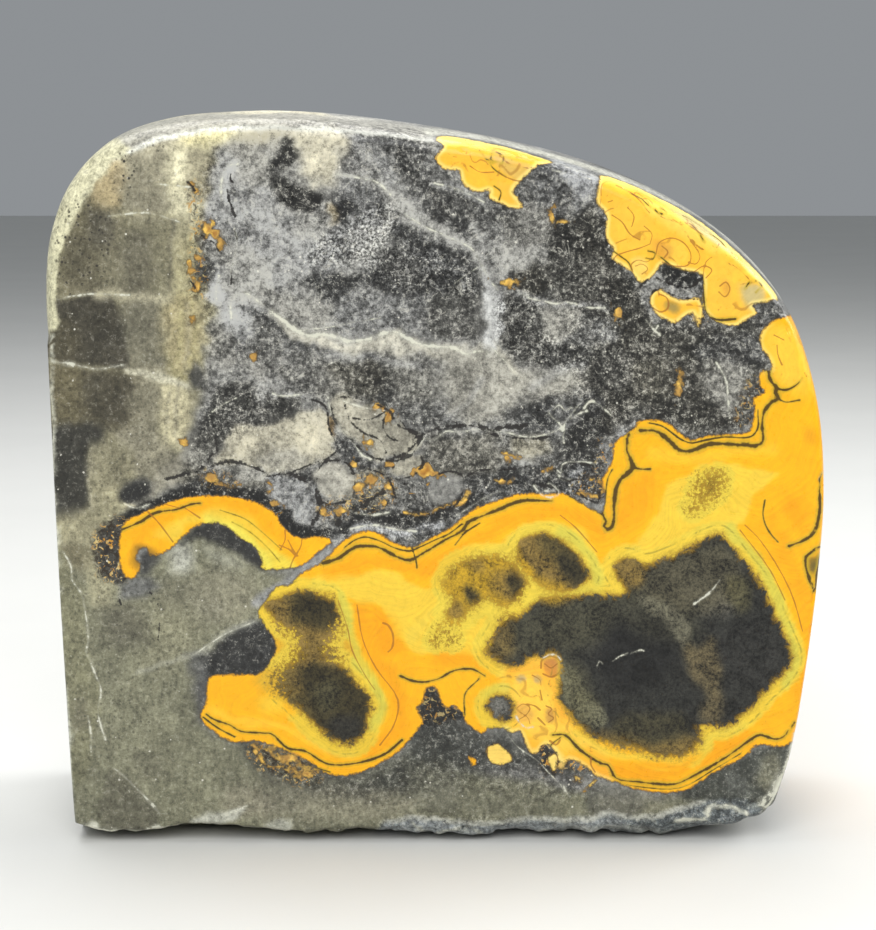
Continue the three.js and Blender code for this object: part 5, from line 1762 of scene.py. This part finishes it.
def add_stone():
    """The stone's mesh, with its markings, texture map and material, on the stone's only body."""
    places, bevel_share, faces, edge_count, face_count, around, ring_count = stone_shape()
    flat = texture_map(places, faces, edge_count, face_count, around, ring_count)
    places = roughen(lift_lower_edge(places), bevel_share, faces)
    attributes = paint(places)

    mesh = bpy.data.meshes.new("jasper_stone")
    mesh.from_pydata((places * MM).tolist(), [], faces.tolist())
    mesh.shade_smooth()
    for name, values in attributes.items():
        if name in COLOUR_ATTRIBUTES:
            attribute = mesh.attributes.new(name, "FLOAT_COLOR", "POINT")
            colours = np.column_stack([values, np.ones(len(values))])
            attribute.data.foreach_set("color", colours.ravel().astype(np.float32))
        else:
            attribute = mesh.attributes.new(name, "FLOAT", "POINT")
            attribute.data.foreach_set("value", values.astype(np.float32))
    uv = mesh.uv_layers.new(name="OFBake")
    uv.data.foreach_set("uv", flat.ravel().astype(np.float32))
    mesh.materials.append(jasper_material())
    stone = add_object("jasper_stone", mesh)
    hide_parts("jasper_slab")
    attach(stone, "root")


# ---------------------------------------------------------------------------------------------
# The stone's material
# ---------------------------------------------------------------------------------------------

# Noises in space are sized in millimetres. Distances to bands and cores are in pixels of the
# photograph, and those to lines are in half widths of the line.
GAMMA = 2.2  # between a linear colour and the tone that the eye sees
POLISH_LOW = 0.24  # roughness
POLISH_HIGH = 0.42
SPECULAR = 0.3
BUMP_STRENGTH = 0.25
BUMP_HEIGHT = 0.05


class Shader:
    """Short ways to add nodes to one material."""

    def __init__(self, name):
        self.material = bpy.data.materials.new(name)
        self.material.use_nodes = True
        self.tree = self.material.node_tree
        self.surface = self.tree.nodes["Principled BSDF"]
        coordinates = self.tree.nodes.new("ShaderNodeTexCoord").outputs["Object"]
        self.place = self.vector("MULTIPLY", coordinates, (1 / MM,) * 3)

    def plug(self, socket, value):
        """Feeds a socket from another node's output, or sets it to a colour or a number."""
        if isinstance(value, bpy.types.NodeSocket):
            self.tree.links.new(value, socket)
        elif isinstance(value, np.ndarray):
            socket.default_value = (*to_linear(value), 1)
        else:
            socket.default_value = value

    def vector(self, operation, a, b):
        node = self.tree.nodes.new("ShaderNodeVectorMath")
        node.operation = operation
        for socket, value in zip(node.inputs, (a, b)):
            if isinstance(value, np.ndarray):
                socket.default_value = tuple(to_linear(value))
            else:
                self.plug(socket, value)
        return node.outputs[0]

    def math(self, operation, a, b=0.0):
        node = self.tree.nodes.new("ShaderNodeMath")
        node.operation = operation
        self.plug(node.inputs[0], a)
        self.plug(node.inputs[1], b)
        return node.outputs[0]

    def add(self, a, b):
        return self.math("ADD", a, b)

    def times(self, a, b):
        return self.math("MULTIPLY", a, b)

    def attribute(self, name):
        node = self.tree.nodes.new("ShaderNodeAttribute")
        node.attribute_name = name
        return node.outputs["Color" if name in COLOUR_ATTRIBUTES else "Fac"]

    def ramp(self, value, low, high, to_low=0.0, to_high=1.0):
        """to_low where the value is low or before it, to_high where it is high or past it, and smooth
        between. Where low is the greater, the ramp runs down the values."""
        node = self.tree.nodes.new("ShaderNodeMapRange")
        node.interpolation_type = "SMOOTHSTEP"
        for name, setting in (
            ("Value", value), ("From Min", low), ("From Max", high),
            ("To Min", to_low), ("To Max", to_high),
        ):
            self.plug(node.inputs[name], setting)
        return node.outputs["Result"]

    def swing(self, noise, amount, middle=0.0, half_range=0.2):
        """Noise from 0 to 1, made to swing by the amount on either side of the middle."""
        return self.ramp(noise, 0.5 - half_range, 0.5 + half_range, middle - amount, middle + amount)

    def off_middle(self, noise):
        """How far noise from 0 to 1 is from its middle, which is 0 along winding lines."""
        return self.math("ABSOLUTE", self.math("SUBTRACT", noise, 0.5))

    def luminance(self, colour):
        node = self.tree.nodes.new("ShaderNodeRGBToBW")
        self.plug(node.inputs[0], colour)
        return node.outputs[0]

    def blend(self, factor, a, b):
        """The number a where the factor is 0, b where it is 1."""
        node = self.tree.nodes.new("ShaderNodeMix")
        for index, value in ((0, factor), (2, a), (3, b)):
            self.plug(node.inputs[index], value)
        return node.outputs[0]

    def mix(self, factor, a, b):
        """The colour a where the factor is 0, b where it is 1."""
        node = self.tree.nodes.new("ShaderNodeMix")
        node.data_type = "RGBA"
        for index, value in ((0, factor), (6, a), (7, b)):
            self.plug(node.inputs[index], value)
        return node.outputs[2]

    def noise(self, size, detail=3.0, roughness=0.6, warp=0.0, stretch=(1, 1, 1)):
        """Noise from 0 to 1 with features of about that size, in millimetres."""
        node = self.tree.nodes.new("ShaderNodeTexNoise")
        self.plug(node.inputs["Vector"], self.vector("MULTIPLY", self.place, stretch))
        node.inputs["Scale"].default_value = 1 / size
        node.inputs["Detail"].default_value = detail
        node.inputs["Roughness"].default_value = roughness
        node.inputs["Distortion"].default_value = warp
        return node.outputs["Fac"]

    def lines(self, value, size):
        """Noise from 0 to 1 along one value, with features of about that size."""
        node = self.tree.nodes.new("ShaderNodeTexNoise")
        node.noise_dimensions = "1D"
        self.plug(node.inputs["W"], value)
        node.inputs["Scale"].default_value = 1 / size
        node.inputs["Detail"].default_value = 2
        return node.outputs["Fac"]

    def specks(self, size):
        """Distance to scattered points about that far apart, in that unit."""
        node = self.tree.nodes.new("ShaderNodeTexVoronoi")
        self.plug(node.inputs["Vector"], self.place)
        node.inputs["Scale"].default_value = 1 / size
        return node.outputs["Distance"]

    def scale_colour(self, colour, factor):
        node = self.tree.nodes.new("ShaderNodeCombineXYZ")
        for socket in node.inputs:
            self.plug(socket, factor)
        return self.vector("MULTIPLY", colour, node.outputs[0])


def ground_grain(s, grain, grains, clots):
    """The ground's own colour, broken into grains in the ash and mottled in the calcite."""
    colour = s.attribute("ground")
    texture = s.add(s.swing(clots, 0.4, half_range=0.22), s.swing(grains, 0.6))

    # In the ash the texture pushes each tone towards dark or light, so that edges break into grains
    tone = s.math("POWER", s.luminance(colour), 1 / GAMMA)
    pushed = s.add(tone, s.times(texture, 0.30))
    granular = s.ramp(pushed, 0.0, 0.9, 0.11, 0.68)
    change = s.math("POWER", s.math("DIVIDE", granular, s.math("MAXIMUM", tone, 0.05)), GAMMA)

    streaks = s.noise(0.8, 3, 0.65, 0.2, stretch=(1, 1, 0.3))
    calm = s.add(s.times(texture, 0.52), s.ramp(streaks, 0.3, 0.7, 0.87, 1.10))
    return s.scale_colour(colour, s.blend(grain, calm, change))


def ground_specks(s, ground, grain, grains, clots, medium):
    """Pale and dark grains, coarse grit, wisps, glints and pepper."""
    salt = s.times(s.ramp(grains, 0.59, 0.66), s.ramp(grain, 0, 1, 0.2, 0.55))
    ground = s.mix(salt, ground, SALT_WHITE)
    dark = s.times(s.ramp(grains, 0.40, 0.32), s.ramp(grain, 0, 1, 0.25, 0.5))
    ground = s.mix(dark, ground, ASH_BLACK)
    grit = s.times(s.ramp(s.noise(0.3, 3, 0.7), 0.36, 0.64, -0.85, 0.75), s.attribute("gritty"))
    ground = s.scale_colour(ground, s.add(grit, 1))
    wisp = s.ramp(s.off_middle(s.noise(3.0, 4, 0.6, 1.6)), 0.022, 0.004, 0, 0.5)
    wisp = s.times(wisp, s.ramp(clots, 0.48, 0.6))
    ground = s.mix(s.times(wisp, s.ramp(grain, 0, 1, 0.15, 1)), ground, WISP_WHITE)

    glint = s.times(s.ramp(s.specks(1.5), 0.11, 0.06), s.ramp(medium, 0.48, 0.56, 0, 0.8))
    ground = s.mix(glint, ground, GLINT_WHITE)
    pepper = s.times(s.ramp(s.specks(0.62), 0.36, 0.2), s.attribute("pepper"))
    pepper = s.times(pepper, s.ramp(medium, 0.42, 0.55))
    return s.mix(pepper, ground, PEPPER_BLACK)


def ground_layer(s, medium):
    """Granular ash and smoother calcite, with crumbs of orange in brown soil."""
    grain = s.attribute("grain")
    grains = s.noise(0.45, 3, 0.75)
    clots = s.noise(1.6, 5, 0.72, 0.8)
    ground = ground_grain(s, grain, grains, clots)
    ground = ground_specks(s, ground, grain, grains, clots, medium)

    crumb = s.noise(0.7, 3, 0.65, 0.8)
    soil = s.times(s.ramp(crumb, 0.47, 0.40), s.attribute("crumb"))
    ground = s.mix(soil, ground, SOIL_BROWN)
    bits = s.times(s.ramp(crumb, 0.56, 0.60), s.attribute("crumb"))
    return s.mix(bits, ground, s.mix(s.ramp(medium, 0.40, 0.60), CRUMB_OCHRE, PALE_CRUMB))


def drawn_lines(s, colour):
    """Pale veins and dark cracks, which swell, thin out and break."""
    wobble = s.swing(s.noise(0.5, 3, 0.7), 0.6)
    broken = s.add(wobble, s.ramp(s.noise(1.8, 3, 0.65), 0.4, 0.6, -0.2, 1.3))
    vein = s.add(s.attribute("vein"), broken)
    colour = s.mix(s.ramp(vein, 3.4, 0.6, 0, 0.35), colour, VEIN_HALO)
    colour = s.mix(s.ramp(vein, 1.5, 0.7, 0, 0.75), colour, VEIN_WHITE)
    crack = s.add(s.attribute("crack"), broken)
    return s.mix(s.ramp(crack, 1.9, 0.7, 0, 0.95), colour, CRACK_BLACK)


def growth_rings(s, medium):
    """The sulphide's own colour, in faint rings along its border and round the cores."""
    ring = s.add(s.attribute("growth"), s.times(s.attribute("core"), 0.7))
    shade = s.add(s.swing(s.lines(ring, 3.4), 0.05), s.swing(medium, 0.05, 1))
    shade = s.add(shade, s.swing(s.noise(3.0, 4, 0.6, 0.6), 0.05))
    sulphide = s.scale_colour(s.attribute("sulphide"), shade)
    dirt = s.times(s.ramp(s.noise(0.5, 3, 0.7), 0.62, 0.72), 0.3)
    return s.mix(dirt, sulphide, DIRT_BROWN)


def agate_rings(s, sulphide):
    """Fine rings along the level lines of a noise, on a ground that pales towards its border."""
    ringed = s.attribute("ringed")
    pale = s.ramp(s.attribute("yellow"), 5.5, 1.5, 0.12, 0.6)
    sulphide = s.mix(s.times(pale, ringed), sulphide, CREAM_YELLOW)
    level = s.math("FRACT", s.times(s.noise(7.5, 2, 0.5, 0.6), 6.0))
    line = s.ramp(s.off_middle(level), 0.10, 0.02, 0, 0.6)
    patchy = s.times(ringed, s.ramp(s.noise(2.4, 3, 0.6), 0.51, 0.58))
    return s.mix(s.times(line, patchy), sulphide, RING_BROWN)


def sulphide_layer(s, medium):
    """Orange and yellow in growth rings, with dark contour lines and thin rusty ones."""
    sulphide = agate_rings(s, growth_rings(s, medium))
    width = s.swing(s.noise(2.2, 2, 0.6), 0.3, half_range=0.15)
    contour = s.add(s.add(s.attribute("contour"), width), s.swing(medium, 0.25))
    sulphide = s.mix(s.ramp(contour, 3.0, 0.8, 0, 0.7), sulphide, CONTOUR_HALO)
    sulphide = s.mix(s.ramp(contour, 1.1, 0.35, 0, 0.92), sulphide, CONTOUR_BROWN)
    rust = s.add(s.attribute("rust"), width)
    return s.mix(s.ramp(rust, 1.7, 0.6, 0, 0.75), sulphide, RUST_BROWN)


def core_border(s, gap, loose, coarse, grains, medium):
    """Distance into the core, made granular: a little where the core is solid, much where it is loose."""
    drift = s.add(gap, s.swing(coarse, 2.5))
    scatter = s.times(s.swing(grains, 1), s.ramp(loose, 0, 1, 1.8, 10))
    clump = s.times(s.times(s.swing(medium, 1), loose), 6.0)
    fuzz = s.add(drift, s.add(scatter, clump))
    return s.math("DIVIDE", fuzz, s.ramp(loose, 0, 1, 1, 2.2))


def core_colours(s, fuzz, coarse, grains):
    """The core's mottled dark inside, which turns brown towards its border."""
    core_tint = s.attribute("core_tint")
    mottle = s.add(s.ramp(coarse, 0.35, 0.65, -0.5, 0.6), s.ramp(grains, 0.32, 0.68, 0.35, 1.75))
    mottle = s.math("MAXIMUM", mottle, 0.12)
    mottle = s.math("POWER", mottle, s.ramp(s.luminance(core_tint), 0.05, 0.2, 1, 0.65))
    dark = s.scale_colour(core_tint, mottle)
    brown = s.scale_colour(EDGE_GOLD, mottle)
    return s.mix(s.ramp(s.add(fuzz, s.swing(coarse, 3)), -1, 5), brown, dark)


def core_layer(s, sulphide, medium):
    """Dark cores, which thin out into grains towards the yellow, inside a broken hairline."""
    gap = s.attribute("core")
    loose = s.attribute("loose")
    coarse = s.noise(2.0, 5, 0.7, 0.8)
    grains = s.noise(0.4, 3, 0.8)
    fuzz = core_border(s, gap, loose, coarse, grains, medium)

    hairline = s.ramp(s.math("ABSOLUTE", s.add(gap, 9.0)), 1.4, 0.4, 0, 0.5)
    hairline = s.times(hairline, s.ramp(coarse, 0.45, 0.58))
    hairline = s.times(hairline, s.ramp(loose, 0.3, 0.0))
    sulphide = s.mix(hairline, sulphide, HAIRLINE_GREEN)
    sulphide = s.mix(s.ramp(fuzz, -6, 0, 0, 0.6), sulphide, FRINGE_GOLD)
    return s.mix(s.ramp(fuzz, -2, 1.5), sulphide, core_colours(s, fuzz, coarse, grains))


def jasper_material():
    """Ground, sulphide and cores, one over the other, then the drawn lines, under a soft polish."""
    s = Shader("polished_jasper_stone")
    medium = s.noise(0.8, 4, 0.65, 0.4)
    fine = s.noise(0.3, 2, 0.6)
    ground = ground_layer(s, medium)
    sulphide = core_layer(s, sulphide_layer(s, medium), medium)

    # Yellow against ground, with a thin dark edge between them
    yellow = s.add(s.attribute("yellow"), s.swing(medium, 1.1, half_range=0.25))
    yellow = s.add(yellow, s.swing(fine, 0.5, half_range=0.25))
    colour = s.mix(s.ramp(yellow, -0.5, 0.5), ground, sulphide)
    border = s.ramp(s.math("ABSOLUTE", yellow), 1.9, 0.3, 0, 0.6)
    colour = drawn_lines(s, s.mix(border, colour, BORDER_BROWN))

    s.plug(s.surface.inputs["Base Color"], colour)
    s.plug(s.surface.inputs["Roughness"], s.ramp(medium, 0.2, 0.8, POLISH_LOW, POLISH_HIGH))
    s.surface.inputs["Specular IOR Level"].default_value = SPECULAR
    bump = s.tree.nodes.new("ShaderNodeBump")
    bump.inputs["Strength"].default_value = BUMP_STRENGTH
    bump.inputs["Distance"].default_value = BUMP_HEIGHT * MM
    s.plug(bump.inputs["Height"], fine)
    s.plug(s.surface.inputs["Normal"], bump.outputs["Normal"])
    return s.material


# ---------------------------------------------------------------------------------------------
# Floor and light
# ---------------------------------------------------------------------------------------------

FLOOR_SIZE = 3000.0
FLOOR_MOTTLE = 40
FLOOR_ROUGHNESS = 0.7
FLOOR_DARK = ash(0.80)
FLOOR_PALE = ash(0.83)
SKY_COLOUR = (0.9, 0.95, 1.0, 1)
SKY_STRENGTH = 0.3

# Soft square lights: name, place, size, and power in watts
LIGHTS = [
    ("key", (-50, -430, 380), 420, 2.9),
    ("top", (-60, 120, 480), 420, 2.2),
    ("side", (400, 110, 320), 300, 1.7),
]


def add_floor():
    half = FLOOR_SIZE / 2 * MM
    mesh = bpy.data.meshes.new("floor")
    corners = [(-half, -half, 0), (half, -half, 0), (half, half, 0), (-half, half, 0)]
    mesh.from_pydata(corners, [], [(0, 1, 2, 3)])
    s = Shader("pale_floor")
    s.plug(s.surface.inputs["Base Color"], s.mix(s.noise(FLOOR_MOTTLE), FLOOR_DARK, FLOOR_PALE))
    s.surface.inputs["Roughness"].default_value = FLOOR_ROUGHNESS
    mesh.materials.append(s.material)
    floor = add_object("floor", mesh)


def add_area_light(name, place, size, power):
    data = bpy.data.lights.new(name, "AREA")
    data.size = size * MM
    data.energy = power
    light = add_object(name, data)
    light.location = Vector(place) * MM
    aim = Vector((0, 0, HEIGHT / 2)) * MM
    light.rotation_euler = (aim - light.location).to_track_quat("-Z", "Y").to_euler()


def add_light():
    world = bpy.data.worlds.new("studio")
    world.use_nodes = True
    background = world.node_tree.nodes["Background"]
    background.inputs["Color"].default_value = SKY_COLOUR
    background.inputs["Strength"].default_value = SKY_STRENGTH
    bpy.context.scene.world = world
    for light in LIGHTS:
        add_area_light(*light)
    bpy.context.scene.view_settings.view_transform = "Standard"


add_camera()
add_floor()
add_light()
add_stone()
